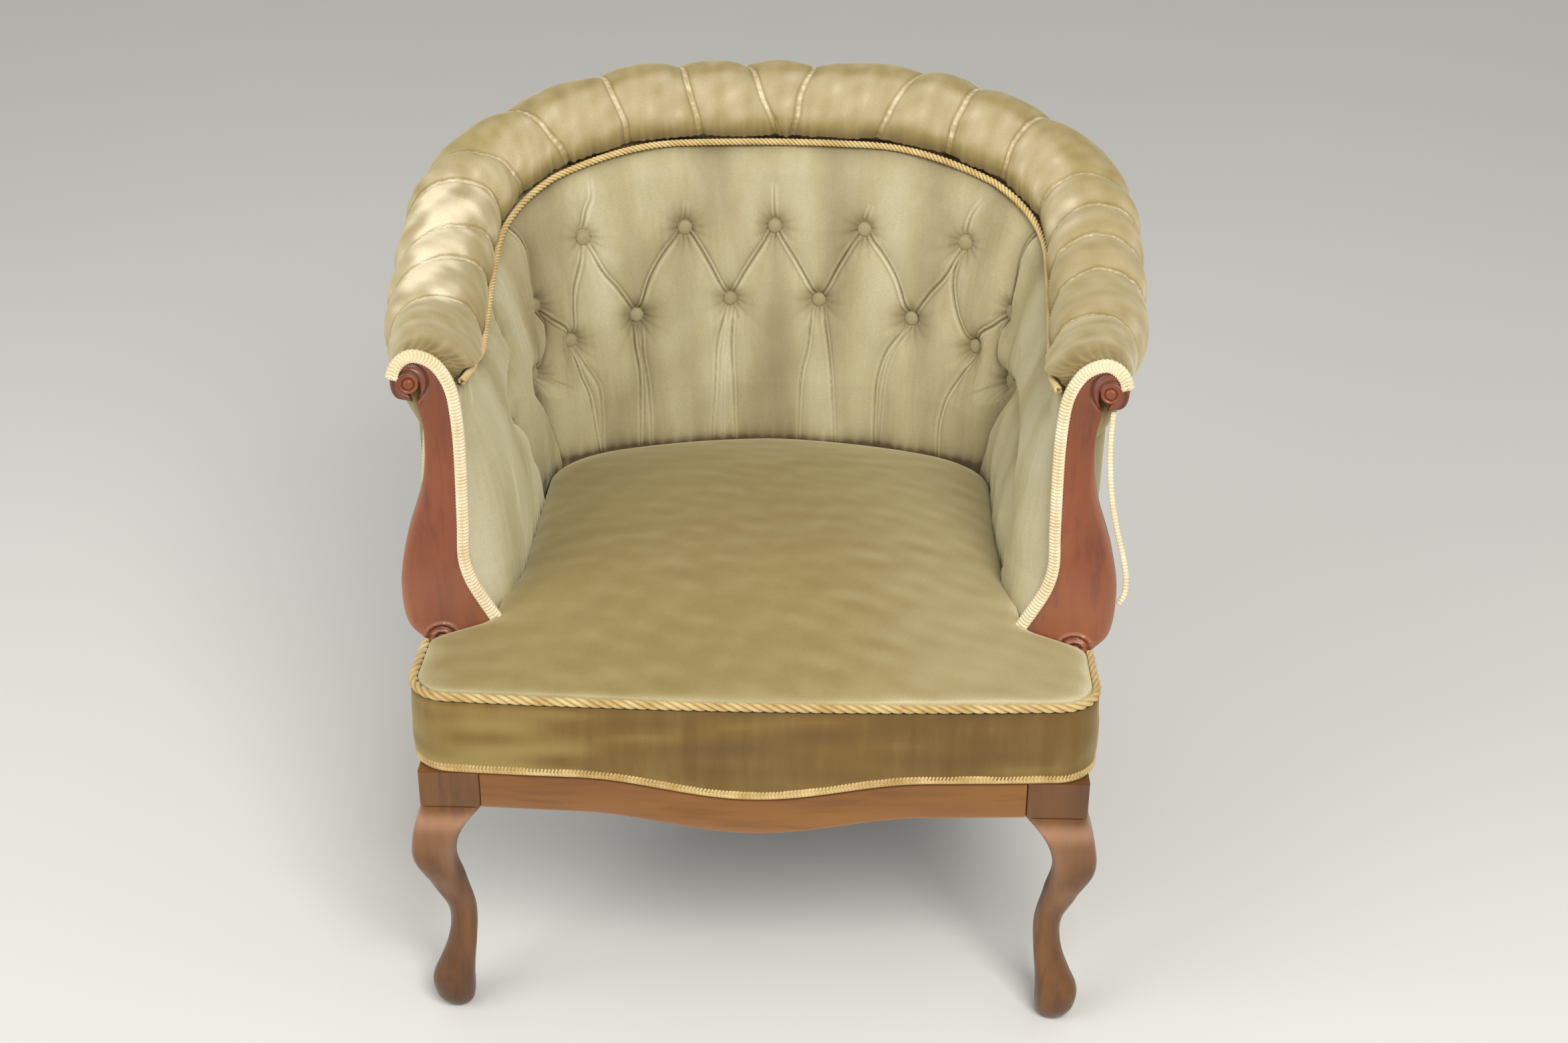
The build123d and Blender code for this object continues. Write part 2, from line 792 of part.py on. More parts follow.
def button_planes():
    """The back plane of each button, facing the sitter."""
    planes = []
    for way, z, _ in button_row():
        for sign in ((-1, 1) if way > 0 else (1,)):
            station = Station(sign * way)
            middle = station.spot(-button_depth - button_seat, z)
            inward = station.spot(-button_depth - button_seat - 1, z) - middle
            planes.append(Plane(middle, z_dir=inward))
    return planes


def inner_back():
    """The buttoned pad, with a pocket round each button."""
    pad = loft_of([pad_section(*row) for row in pad_rows()])
    pocket = RegularPolygon(button_radius + gap, button_sides)
    tools = [extrude(plane.offset(-gap) * pocket, pad_crown_depth) for plane in button_planes()]
    return pad.cut(*[tool.solid() for tool in tools])


def buttons():
    """Domed covered buttons, each in its pocket in the pad."""
    steps = ((1.0, 0.0), (0.78, 0.62), (0.4, 0.94))
    shapes = []
    for plane in button_planes():
        wires = []
        for width, lift in steps:
            outline = RegularPolygon(button_radius * width, button_sides)
            wires.append((plane.offset(button_dome * lift) * outline).wire())
        shapes.append(loft_of(wires))
    return shapes


# ---- outside covers ----
def cover_spot(station, share, off):
    """A point off an outside cover's inner face, at a share of its height."""
    low = station.sill_spot(slack + off, rail_bottom + cover_hem)
    high = station.roll_spot(top_rail_out + slack + off, -top_rail_below + hem - gap)
    return low + (high - low) * share


def outside_cover(start, end):
    """A thin cover outside the uprights, from the seat rails up to the roll."""

    def section(station):
        corners = ((0, 0), (0, cover_thick), (1, cover_thick), (1, 0))
        return [cover_spot(station, share, off) for share, off in corners]

    return ribbon(back_stations(start, end), section)


# ---- arm facings ----
front_station = Station(arm_end)
facing_foot = front_station.spot(0, seat_level)
facing_across = Vector(front_station.normal[0], front_station.normal[1], 0)
facing_rise = front_station.spot(0, arm_height) - facing_foot
facing_plane = Plane(facing_foot, x_dir=facing_across, z_dir=facing_across.cross(facing_rise))


def on_facing(out, z):
    """Coordinates on the facing's back plane of a point outside the seat's half width."""
    up = facing_plane.y_dir
    rise = (z - seat_level) / up.Z
    across = (seat_half_width + out - facing_foot.X - rise * up.X) / facing_across.X
    return across, rise


def off_facing(out, z, ahead):
    """A point ahead of the facing's back plane, given by its place on that plane."""
    across, rise = on_facing(out, z)
    return facing_plane.from_local_coords(Vector(across, rise, ahead))


def around_volute(radius, turn):
    """A point about the volute's middle, on the facing's plane."""
    return on_facing(volute_out + radius * cos(radians(turn)), volute_z + radius * sin(radians(turn)))


def facing_outline():
    """The facing's edge: an ogee inside, the scroll on top, a waist and a belly outside."""
    inner = [on_facing(x, z) for x, z in facing_inner]
    outer = [on_facing(x, z) for x, z in facing_outer + ((facing_foot_out, border_top + gap),)]
    crown = around_volute(volute_radius + collar_top, 105)
    tip = around_volute(volute_radius, 20)
    under = around_volute(volute_radius, -105)
    rail_in = sill_half_width - seat_half_width - rail_thick + 3
    foot_z = facing_inner[0][1] - facing_foot_drop
    foot = [
        outer[-1],
        on_facing(rail_in + tongue_width, border_top + gap),
        on_facing(rail_in + tongue_width, rail_top + gap),
        on_facing(rail_in, rail_top + gap),
        on_facing(rail_in, foot_z),
    ]
    return [
        Spline(*inner, tangents=((0.8, 1.0), (0.3, 1.0))),
        ThreePointArc(inner[-1], around_volute(volute_radius + collar_wide, 150), crown),
        ThreePointArc(crown, around_volute(volute_radius + collar_side, 62), tip),
        ThreePointArc(tip, around_volute(volute_radius, -42), under),
        Line(under, outer[0]),
        Spline(*outer, tangents=((-0.4, -1.0), (-0.8, -1.0))),
        Polyline(*foot),
        ThreePointArc(foot[-1], on_facing(blend(rail_in, facing_inner[0][0], 0.5), foot_z + facing_foot_bow), inner[0]),
    ]


def arm_facing():
    """The left facing: a board with the outline, and the volute's raised boss."""
    board = extrude(facing_plane * make_face(facing_outline()), facing_thick)
    across, rise = on_facing(volute_out, volute_z)
    boss = Cylinder(volute_boss, 2 * boss_relief)
    return board.fuse(facing_plane * Pos(across, rise, facing_thick) * boss)


def facing_gimp():
    """The braid on the left facing: up its inner edge and over the scroll."""
    path = [on_facing(x, z) for x, z in facing_inner]
    path += [around_volute(volute_radius + collar_wide - 4, turn) for turn in (152, 128)]
    path += [around_volute(volute_radius + collar_top, 105)]
    path += [around_volute(volute_radius + collar_side + 1, 76)]
    path += [around_volute(volute_radius + collar_side - 1, turn) for turn in (48, 20, -5)]
    wires = []
    for index, (x, y) in enumerate(path):
        before = path[max(index - 1, 0)]
        after = path[min(index + 1, len(path) - 1)]
        run = hypot(after[0] - before[0], after[1] - before[1])
        inward = ((after[1] - before[1]) / run, -(after[0] - before[0]) / run)
        corners = []
        for inset, lift in ((0, 0), (1, 0), (1, 1), (0, 1)):
            side = inset * facing_gimp_width
            ahead = facing_thick + gap + lift * gimp_thick
            local = Vector(x + inward[0] * side, y + inward[1] * side, ahead)
            corners.append(facing_plane.from_local_coords(local))
        wires.append(Wire.make_polygon(corners, close=True))
    return loft_of(wires)


def outer_gimp(end_share):
    """The braid down the front edge of an outside cover, up to a share of the cover's height."""
    inner = cover_thick + gap
    outer = inner + gimp_thick

    def section(station):
        corners = (
            (outer_gimp_start, inner), (outer_gimp_start, outer), (end_share, outer), (end_share, inner)
        )
        return [cover_spot(station, share, off) for share, off in corners]

    return ribbon([Station(arm_end - gap - gimp_width), Station(arm_end - gap)], section)


# ---- seat ----
def seat_webbing():
    """Straps under the rails: three across, below four from front to back."""
    land = rail_thick / 2
    straps = []
    top = rail_bottom - gap
    for step in (-1.5, -0.5, 0.5, 1.5):
        x = step * spring_pitch_x * 0.95
        rear = sill_line.crown_y + sqrt(sill_back_radius ** 2 - x ** 2) - land
        front = -front_reach + border_inside + land
        strap = Box(web_width, rear - front, web_thick)
        straps.append(Pos(x, (rear + front) / 2, top - web_thick / 2) * strap)
    top -= web_thick + gap
    for step in (-1, 0, 1):
        y = spring_centre_y + step * spring_pitch_y
        reach = sill_line.half_width_at(y + web_width / 2, land)
        strap = Box(2 * reach, web_width, web_thick)
        straps.append(Pos(0, y, top - web_thick / 2) * strap)
    return straps


def spring(x, y):
    """A double-cone spring of square wire, wide at both ends and drawn in at the waist."""
    half = spring_wire / 2
    bottom = rail_bottom + half
    top = spring_top - gap - half
    count = spring_turns * spring_steps
    wires = []
    for i in range(count + 1):
        share = i / count
        angle = 2 * pi * spring_turns * share
        radius = blend(spring_waist, spring_radius, (2 * share - 1) ** 2)
        z = blend(bottom, top, share)
        corners = []
        for a, b in ((-half, -half), (half, -half), (half, half), (-half, half)):
            reach = radius + a
            corners.append(Vector(x + reach * cos(angle), y + reach * sin(angle), z + b))
        wires.append(Wire.make_polygon(corners, close=True))
    return loft_of(wires)


def seat_springs():
    places = [(column, row) for column in (-1, 0, 1) for row in (-1, 0, 1)]
    return [spring(c * spring_pitch_x, spring_centre_y + r * spring_pitch_y) for c, r in places]


def sheet_under(line, inside, front_half, front, side_start, rear, z, thick):
    """A level sheet: the plan line drawn in, with a narrower front between the legs."""
    ys = spread(line.corner_y, rear, 14)
    outline = [(front_half, front), (front_half, side_start)]
    outline += [(line.half_width_at(side_start, inside), side_start)]
    outline += [(line.half_width_at(y, inside), y) for y in ys]
    outline += [(-x, y) for x, y in reversed(outline)]
    return extrude(Plane.XY.offset(z) * make_face(Polyline(*outline, close=True)), thick)


def seat_hessian():
    """The hessian over the springs, inside the uprights."""
    inside = web_in_low + 10
    front = -front_reach + border_inside + 9
    rear = seat_rear - inside - 5
    return sheet_under(
        seat_line, inside, leg_inner - 6, front, leg_back + 6, rear, spring_top, hessian_thick
    )


def bottom_cloth():
    """The dust cloth under the webbing."""
    z = rail_bottom - 3 * gap - 2 * web_thick - cloth_thick
    front = -front_reach + border_inside + 9
    rear = sill_rear - cloth_inset - 5
    sheet = sheet_under(
        sill_line, cloth_inset, leg_inner - 2, front, leg_back + 2, rear, z, cloth_thick
    )
    inner = Station(back_leg_way).sill_spot(-rail_thick / 2, z)
    corner = Cylinder(back_leg_width * 0.75, 20)
    return sheet - Pos(inner.X, inner.Y, z) * corner - Pos(-inner.X, inner.Y, z) * corner


seat_inset = pad_low_depth + seat_join


def crown_height(y):
    """The seat's height on its centre line: up from the front edge, then down to the back."""
    front = -front_reach + border_inside
    if y < cushion_peak_y:
        share = max(0.0, (y - front) / (cushion_peak_y - front))
        return blend(cushion_front_edge, cushion_crown, sin(share * pi / 2) ** 0.75)
    share = (y - cushion_peak_y) / (seat_rear - seat_inset - cushion_peak_y)
    return blend(cushion_crown, cushion_side + 6, share ** 2.2)


def cushion_section(y, half, side_z):
    """Level below, short upright sides, round shoulders and a crown."""
    crown = max(crown_height(y), side_z + 1)
    shoulder = min(cushion_shoulder, half * 0.4)
    shoulder_z = blend(side_z, crown, 0.62)
    round_z = blend(side_z, shoulder_z, 0.64)

    def at(x, z):
        return Vector(x, y, z)

    return Wire([
        Edge.make_line(at(-half, cushion_bottom), at(half, cushion_bottom)),
        Edge.make_line(at(half, cushion_bottom), at(half, side_z)),
        Edge.make_three_point_arc(
            at(half, side_z), at(half - shoulder * 0.42, round_z), at(half - shoulder, shoulder_z)
        ),
        Edge.make_three_point_arc(
            at(half - shoulder, shoulder_z), at(0, crown), at(-half + shoulder, shoulder_z)
        ),
        Edge.make_three_point_arc(
            at(-half + shoulder, shoulder_z), at(-half + shoulder * 0.42, round_z), at(-half, side_z)
        ),
        Edge.make_line(at(-half, side_z), at(-half, cushion_bottom)),
    ])


def seat_cushion():
    """The crowned seat: between the arms behind, and full width in front of the facings."""
    rear = seat_rear - seat_inset
    rows = []
    for back_off in (1.5, 6, 15, 29, 47, 70):
        y = rear - back_off
        rows.append((y, seat_line.half_width_at(y, seat_inset), cushion_side))
    inner_half = seat_half_width - seat_inset
    for y in (seat_line.corner_y, 30, -20, cushion_peak_y, -140):
        rows.append((y, inner_half, cushion_side))
    flare = pad_low_depth - front_low_depth
    step = sill_arm_front - facing_thick - 2
    rows.append((seat_arm_front + 24, inner_half + 0.3 * flare, cushion_side))
    rows.append((step + gap, inner_half + 0.5 * flare, cushion_side))
    wide = front_half_width - border_inside
    rows.append((step, wide, cushion_front_edge + 3))
    corner = front_corner_radius - border_inside
    corner_y = -front_line.corner_y
    for turn in (0, 25, 48, 68, 84):
        x = front_line.corner_x + corner * cos(radians(turn))
        edge = cushion_front_edge + 2 - turn / 40
        rows.append((corner_y - corner * sin(radians(turn)), x, edge))
    bow_front = front_reach - border_inside
    for share in (0.86, 0.66, 0.42, 0.16):
        x = front_line.corner_x * share
        y = -bow_front + x * x / (2 * front_bow_radius)
        rows.append((y, x, cushion_front_edge - 1))
    return loft_of([cushion_section(*row) for row in rows])


# ---- the seat's front ----
def ogee(level):
    """Height by X of an edge that is level at the sides and falls in the middle in two ogees."""

    def height(x):
        share = min(abs(x) / apron_flat, 1.0)
        return level - apron_drop * (1 + cos(pi * share)) / 2

    return height


def front_border():
    """The panel round the seat's front, down to the show-wood's curved edge."""
    low = ogee(border_bottom + gap)

    def section(station):
        bottom = low(station.x)
        return [
            station.spot(0, bottom),
            station.spot(0, border_top),
            station.spot(-border_thick, border_top),
            station.spot(-border_thick, bottom),
        ]

    return ribbon([FrontStation(w) for w in front_ways()], section)


def front_apron():
    """The show-wood strip under the border, between the leg blocks."""
    thick = apron_proud + border_thick
    return bowed_bar(apron_proud, thick, leg_inner - gap, ogee(apron_bottom), ogee(border_bottom))


def front_gimp():
    """The braid along the border's lower edge."""
    low = ogee(border_bottom + 1)
    out = gap + gimp_thick

    def section(station):
        bottom = low(station.x)
        return [
            station.spot(out, bottom),
            station.spot(out, bottom + gimp_width),
            station.spot(gap, bottom + gimp_width),
            station.spot(gap, bottom),
        ]

    return ribbon([FrontStation(w) for w in front_ways()], section)


def seat_rope():
    """The rope along the seat's top front edge and round its corners."""
    out = rope_proud - rope_radius
    z = border_top + gap + rope_radius

    def section(station):
        return ring(lambda a, b: station.spot(out + a, z + b), rope_radius)

    short = rope_side_end - front_side_end
    return ribbon([FrontStation(w) for w in front_ways(short)], section)


# ---- the braid that hangs loose beside the left facing ----
loose_radius = 2.5
loose_sides = 6
loose_ahead = 8.0             # ahead of the facing's back plane
loose_route = [
    off_facing(32.0, 556.5, loose_ahead),
    off_facing(30.6, 540.0, loose_ahead),
    off_facing(31.0, 513.0, loose_ahead + 2),
    off_facing(34.0, 481.0, loose_ahead + 3),
    off_facing(40.5, 450.0, loose_ahead + 1),
    off_facing(48.0, 424.0, loose_ahead),
    off_facing(51.5, 404.0, loose_ahead),
    off_facing(50.0, 388.5, loose_ahead),
    off_facing(45.4, 382.0, loose_ahead),
]


def loose_gimp():
    """A limp length of braid: straight runs joined by tangent arcs."""
    radii = []
    for before, here, after in zip(loose_route, loose_route[1:], loose_route[2:]):
        turn = radians((here - before).get_angle(after - here))
        radii.append(0.45 * min((here - before).length, (after - here).length) / tan(turn / 2))
    print("loose gimp radii", [round(r, 1) for r in radii])
    route = FilletPolyline(*loose_route, radius=radii)
    start = Plane(loose_route[0], z_dir=loose_route[1] - loose_route[0])
    section = start * RegularPolygon(loose_radius, loose_sides)
    tube = sweep(section, path=route)
    by_length = route.length * section.area
    print(f"loose gimp length {route.length:.1f} volume {tube.volume:.1f} by length {by_length:.1f}")
    return tube


# ---- the pieces ----
upright = back_leg_way + leg_reach
before_upright = back_leg_way - leg_reach
joint = gap / 2

save("front_rail", front_rail())
save_pair("side_rail", side_rail())
save("back_rail", back_rail())
save_pair("corner_block", corner_block())
save_pair("front_leg", front_leg())
save_pair("back_leg", back_leg())
save_pair("arm_post", arm_post())
save_pair("tacking_rail", tacking_rail(upright, arm_end - 2 * gap - post_width))
save("tacking_rail_back", tacking_rail(-before_upright, before_upright))
save_pair("arm_rail", top_rail(back_leg_way + joint, arm_end - gap))
save("crest_rail", top_rail(-back_leg_way + joint, back_leg_way - joint))
save_pair("arm_facing", arm_facing())
save("front_apron", front_apron())

save("seat_webbing", *seat_webbing())
save("seat_springs", *seat_springs())
save("seat_hessian", seat_hessian())
save("edge_roll", edge_roll())
save("seat_cushion", seat_cushion())
save("front_border", front_border())
save("bottom_cloth", bottom_cloth())

save("back_webbing", *back_webbing())
save("back_hessian", back_hessian())
save("inner_back", inner_back())
save("buttons", *buttons())
save("channelled_roll", channelled_roll())
save_pair("outside_arm", outside_cover(back_leg_way + joint, arm_end - gap))
save("outside_back", outside_cover(-back_leg_way + joint, back_leg_way - joint))

save("roll_rope", roll_rope())
save("seat_rope", seat_rope())
save("front_gimp", front_gimp())
save_pair("facing_gimp", facing_gimp())
save("outer_gimp_right", mirrored(outer_gimp(1.0)))
save("outer_gimp_left", outer_gimp(loose_from))
save("loose_gimp", loose_gimp())
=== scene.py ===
# %% [markdown]
# # A low tub chair
#
# The chair has a horseshoe of deep-buttoned velvet under a channelled roll, a crowned seat,
# a bowed front, carved arm facings and two cabriole legs. Its wooden frame, webbing and springs
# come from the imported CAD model, which is the fixed frame of this scene: +X is the sitter's
# left, +Y the back and Z up, in metres. Every visible surface is worked out again here with
# numpy, fine enough to show pleats, strands and carving.

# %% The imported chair
import json
import math

import bpy
import numpy as np
from mathutils import Matrix

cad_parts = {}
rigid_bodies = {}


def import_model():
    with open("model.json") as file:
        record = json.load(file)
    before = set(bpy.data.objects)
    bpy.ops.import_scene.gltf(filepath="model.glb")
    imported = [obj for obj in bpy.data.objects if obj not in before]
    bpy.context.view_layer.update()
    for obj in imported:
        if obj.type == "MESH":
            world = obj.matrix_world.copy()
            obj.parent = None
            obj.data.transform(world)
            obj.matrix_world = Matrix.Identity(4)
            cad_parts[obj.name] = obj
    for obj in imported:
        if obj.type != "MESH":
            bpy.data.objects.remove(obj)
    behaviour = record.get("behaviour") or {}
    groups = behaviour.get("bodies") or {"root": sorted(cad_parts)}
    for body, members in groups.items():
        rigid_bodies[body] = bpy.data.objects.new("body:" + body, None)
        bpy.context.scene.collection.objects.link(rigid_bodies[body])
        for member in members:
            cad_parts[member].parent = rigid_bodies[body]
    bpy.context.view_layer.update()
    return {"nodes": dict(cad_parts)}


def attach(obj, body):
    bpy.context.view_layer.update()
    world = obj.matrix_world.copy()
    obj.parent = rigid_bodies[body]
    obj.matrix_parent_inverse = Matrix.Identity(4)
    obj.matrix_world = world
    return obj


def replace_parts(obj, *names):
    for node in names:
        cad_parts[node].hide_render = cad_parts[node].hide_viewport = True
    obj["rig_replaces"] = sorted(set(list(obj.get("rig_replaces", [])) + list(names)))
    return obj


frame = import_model()

# %% [markdown]
# ## The camera
#
# The photograph looks down on the chair by about 27 degrees, from just right of its middle.
# A camera could be aimed with a Track To constraint, but three angles and a place say it
# exactly: yaw about Z, pitch below the horizon, and a slight roll.

# %% The camera
PHOTO_WIDTH = 2357
CAMERA_PLACE = (0.06955, -1.8512, 1.2787)
CAMERA_YAW, CAMERA_PITCH, CAMERA_ROLL = -0.02807, 0.46502, 0.003668
FOCAL_PIXELS = 3101.9


def camera_axes(yaw, pitch, roll):
    """Right, up and forward. Forward is (sin yaw cos pitch, cos yaw cos pitch, -sin pitch)."""
    forward = np.array([math.sin(yaw) * math.cos(pitch), math.cos(yaw) * math.cos(pitch),
                        -math.sin(pitch)])
    level = np.array([math.cos(yaw), -math.sin(yaw), 0.0])
    above = np.cross(level, forward)
    right = level * math.cos(roll) + above * math.sin(roll)
    return right, np.cross(right, forward), forward


right, above, forward = camera_axes(CAMERA_YAW, CAMERA_PITCH, CAMERA_ROLL)
lens = bpy.data.cameras.new("photo_camera")
lens.sensor_width = 36.0
lens.lens = FOCAL_PIXELS * lens.sensor_width / PHOTO_WIDTH
camera = bpy.data.objects.new("photo_camera", lens)
bpy.context.scene.collection.objects.link(camera)
turn = Matrix([[r, u, -f] for r, u, f in zip(right, above, forward)]).to_4x4()
camera.matrix_world = Matrix.Translation(CAMERA_PLACE) @ turn
bpy.context.scene.camera = camera
print("lens", round(lens.lens, 2), "mm")

# %% [markdown]
# ## Meshes from grids
#
# Each surface is a grid of points, a function of two parameters, worked out in millimetres as
# one numpy array. A closed band of points (a section) carried along a path makes a solid piece,
# and each end is closed with a fan to a middle point. The faces come from index arithmetic on
# the whole grid, and foreach_set writes them into the mesh at once.

# %% Grid to mesh
MM = 0.001


def link(name, mesh):
    """A new object for a mesh, at the origin."""
    piece = bpy.data.objects.new(name, mesh)
    bpy.context.scene.collection.objects.link(piece)
    return piece


def write_mesh(name, points, faces, cloth=None, tone=None):
    """A mesh from points in mm and faces: a list of index arrays, each of one face size."""
    mesh = bpy.data.meshes.new(name)
    corners = np.concatenate([f.ravel() for f in faces])
    sizes = np.concatenate([np.full(len(f), f.shape[1]) for f in faces])
    mesh.vertices.add(len(points))
    mesh.vertices.foreach_set("co", (np.asarray(points) * MM).astype(np.float32).ravel())
    mesh.loops.add(len(corners))
    mesh.loops.foreach_set("vertex_index", corners.astype(np.int32))
    mesh.polygons.add(len(sizes))
    mesh.polygons.foreach_set("loop_start", (np.cumsum(sizes) - sizes).astype(np.int32))
    mesh.update(calc_edges=True)
    mesh.validate()
    if cloth is not None:
        layer = mesh.uv_layers.new(name="cloth")
        layer.data.foreach_set("uv", (cloth[corners] * MM).astype(np.float32).ravel())
    if tone is not None:
        column = mesh.attributes.new("tone", "FLOAT", "POINT")
        column.data.foreach_set("value", tone.astype(np.float32))
    mesh.polygons.foreach_set("use_smooth", np.ones(len(sizes), bool))
    return mesh


def volume_of(points, faces):
    """Six times the signed volume inside the faces, each cut into a fan of triangles."""
    total = 0.0
    for f in faces:
        for k in range(1, f.shape[1] - 1):
            a, b, c = points[f[:, 0]], points[f[:, k]], points[f[:, k + 1]]
            total += float((a * np.cross(b, c)).sum())
    return total


def grid_faces(rows, columns):
    """Quads of a grid whose columns wrap round."""
    i, j = np.meshgrid(np.arange(rows - 1), np.arange(columns), indexing="ij")
    i, j = i.ravel() * columns, j.ravel()
    after = (j + 1) % columns
    return np.stack([i + j, i + after, i + columns + after, i + columns + j], 1)


def solid(name, bands, cloth=None, tone=None, middles=None, sharp=35):
    """A closed piece from a band of sections, or a list of bands, each (rows, columns, 3) in mm.
    The two ends of a band close on their mean points, or on the middles given."""
    bands = bands if isinstance(bands, list) else [bands]
    cloths = cloth if isinstance(cloth, list) else [cloth] * len(bands)
    tones = tone if isinstance(tone, list) else [tone] * len(bands)
    points, quads, fans, uvs, shades, start = [], [], [], [], [], 0
    for band, uv, shade in zip(bands, cloths, tones):
        rows, columns = band.shape[:2]
        uv = np.zeros((rows, columns, 2)) if uv is None else uv
        shade = np.zeros((rows, columns)) if shade is None else shade
        ends = [band[0].mean(0), band[-1].mean(0)] if middles is None else middles
        all_points = np.concatenate([band.reshape(-1, 3), ends])
        j, last = np.arange(columns), rows * columns
        after = (j + 1) % columns
        first_fan = np.stack([after, j, np.full(columns, last)], 1)
        last_fan = np.stack([j, after, np.full(columns, columns + 1)], 1) + last - columns
        quad, fan = grid_faces(rows, columns), np.concatenate([first_fan, last_fan])
        if volume_of(all_points, [quad, fan]) < 0:
            quad, fan = quad[:, ::-1], fan[:, ::-1]
        points.append(all_points)
        quads.append(quad + start)
        fans.append(fan + start)
        uvs.append(np.concatenate([uv.reshape(-1, 2), [uv[0].mean(0), uv[-1].mean(0)]]))
        shades.append(np.concatenate([shade.ravel(), [shade[0].mean(), shade[-1].mean()]]))
        start += len(all_points)
    faces = [np.concatenate(quads), np.concatenate(fans)]
    mesh = write_mesh(name, np.concatenate(points), faces, np.concatenate(uvs),
                      np.concatenate(shades))
    mesh.set_sharp_from_angle(angle=math.radians(sharp))
    return link(name, mesh)


def along(points):
    """Running length down the first axis of an array of points."""
    steps = np.linalg.norm(np.diff(points, axis=0), axis=-1)
    return np.concatenate([np.zeros((1,) + steps.shape[1:]), np.cumsum(steps, axis=0)])


def smooth_step(x):
    """3x^2 - 2x^3 between 0 and 1."""
    x = np.clip(x, 0, 1)
    return x * x * (3 - 2 * x)


def unit(vectors):
    """Vectors divided by their lengths."""
    return vectors / np.linalg.norm(vectors, axis=-1, keepdims=True)


def stacked(*parts):
    """Arrays broadcast to one shape and stacked as coordinates."""
    return np.stack(np.broadcast_arrays(*parts), -1)


def with_back(tone, columns=2):
    """Tone over a face, with columns of 0 added for what lies behind it."""
    return np.concatenate([tone, np.zeros((len(tone), columns))], 1)


def hump(x, middle, width, power=2):
    """exp(-((x - middle) / width)^power): 1 at the middle, near 0 past the width."""
    return np.exp(-((x - middle) / width) ** power)


def full_turn(count):
    """Even angles once round."""
    return np.linspace(0, 2 * math.pi, count, endpoint=False)


def superellipse(angle, power):
    """The two sides of a unit curve, sign(c) |c|^power: round at power 1, square near 0."""
    return [np.sign(a) * np.abs(a) ** power for a in (np.cos(angle), np.sin(angle))]


def hermite(u, a, b, slope_a, slope_b):
    """The cubic that leaves a and reaches b with the slopes given, for u from 0 to 1."""
    return ((2 * u ** 3 - 3 * u ** 2 + 1) * a + (u ** 3 - 2 * u ** 2 + u) * slope_a
            + (3 * u ** 2 - 2 * u ** 3) * b + (u ** 3 - u ** 2) * slope_b)


def even_steps(line, count, endpoint=True):
    """Points at even steps of the length of a line."""
    run = along(line)
    at = np.linspace(0, run[-1], count, endpoint=endpoint)
    return np.stack([np.interp(at, run, line[:, k]) for k in range(line.shape[1])], 1)


def smooth_path(points, count):
    """A centripetal Catmull-Rom curve through points, at even steps of its length."""
    p = np.concatenate([[2 * points[0] - points[1]], points, [2 * points[-1] - points[-2]]])
    u = np.linspace(0, 1, 24, endpoint=False)[:, None]
    rows = []
    for a, b, c, d in zip(p, p[1:], p[2:], p[3:]):
        ta, tb, tc = (np.linalg.norm(q - r) ** 0.5 for q, r in ((b, a), (c, b), (d, c)))
        leave = (c - b) + tb * ((b - a) / ta - (c - a) / (ta + tb))
        arrive = (c - b) + tb * ((d - c) / tc - (d - b) / (tb + tc))
        rows.append(hermite(u, b, c, leave, arrive))
    return even_steps(np.concatenate(rows + [points[-1:]]), count)


print("grid helpers ready")

# %% [markdown]
# ## The lines that the chair follows
#
# Seen from above, the padding follows a horseshoe: a shallow arc across the back, two round
# corners and two arms. There is one such line at the seat, one at the top rail and one at the
# seat rails, and a section between them is blended by height. The seat's front follows a line of
# the same kind, turned round. They are the CAD model's own lines, so the pieces fit its frame.

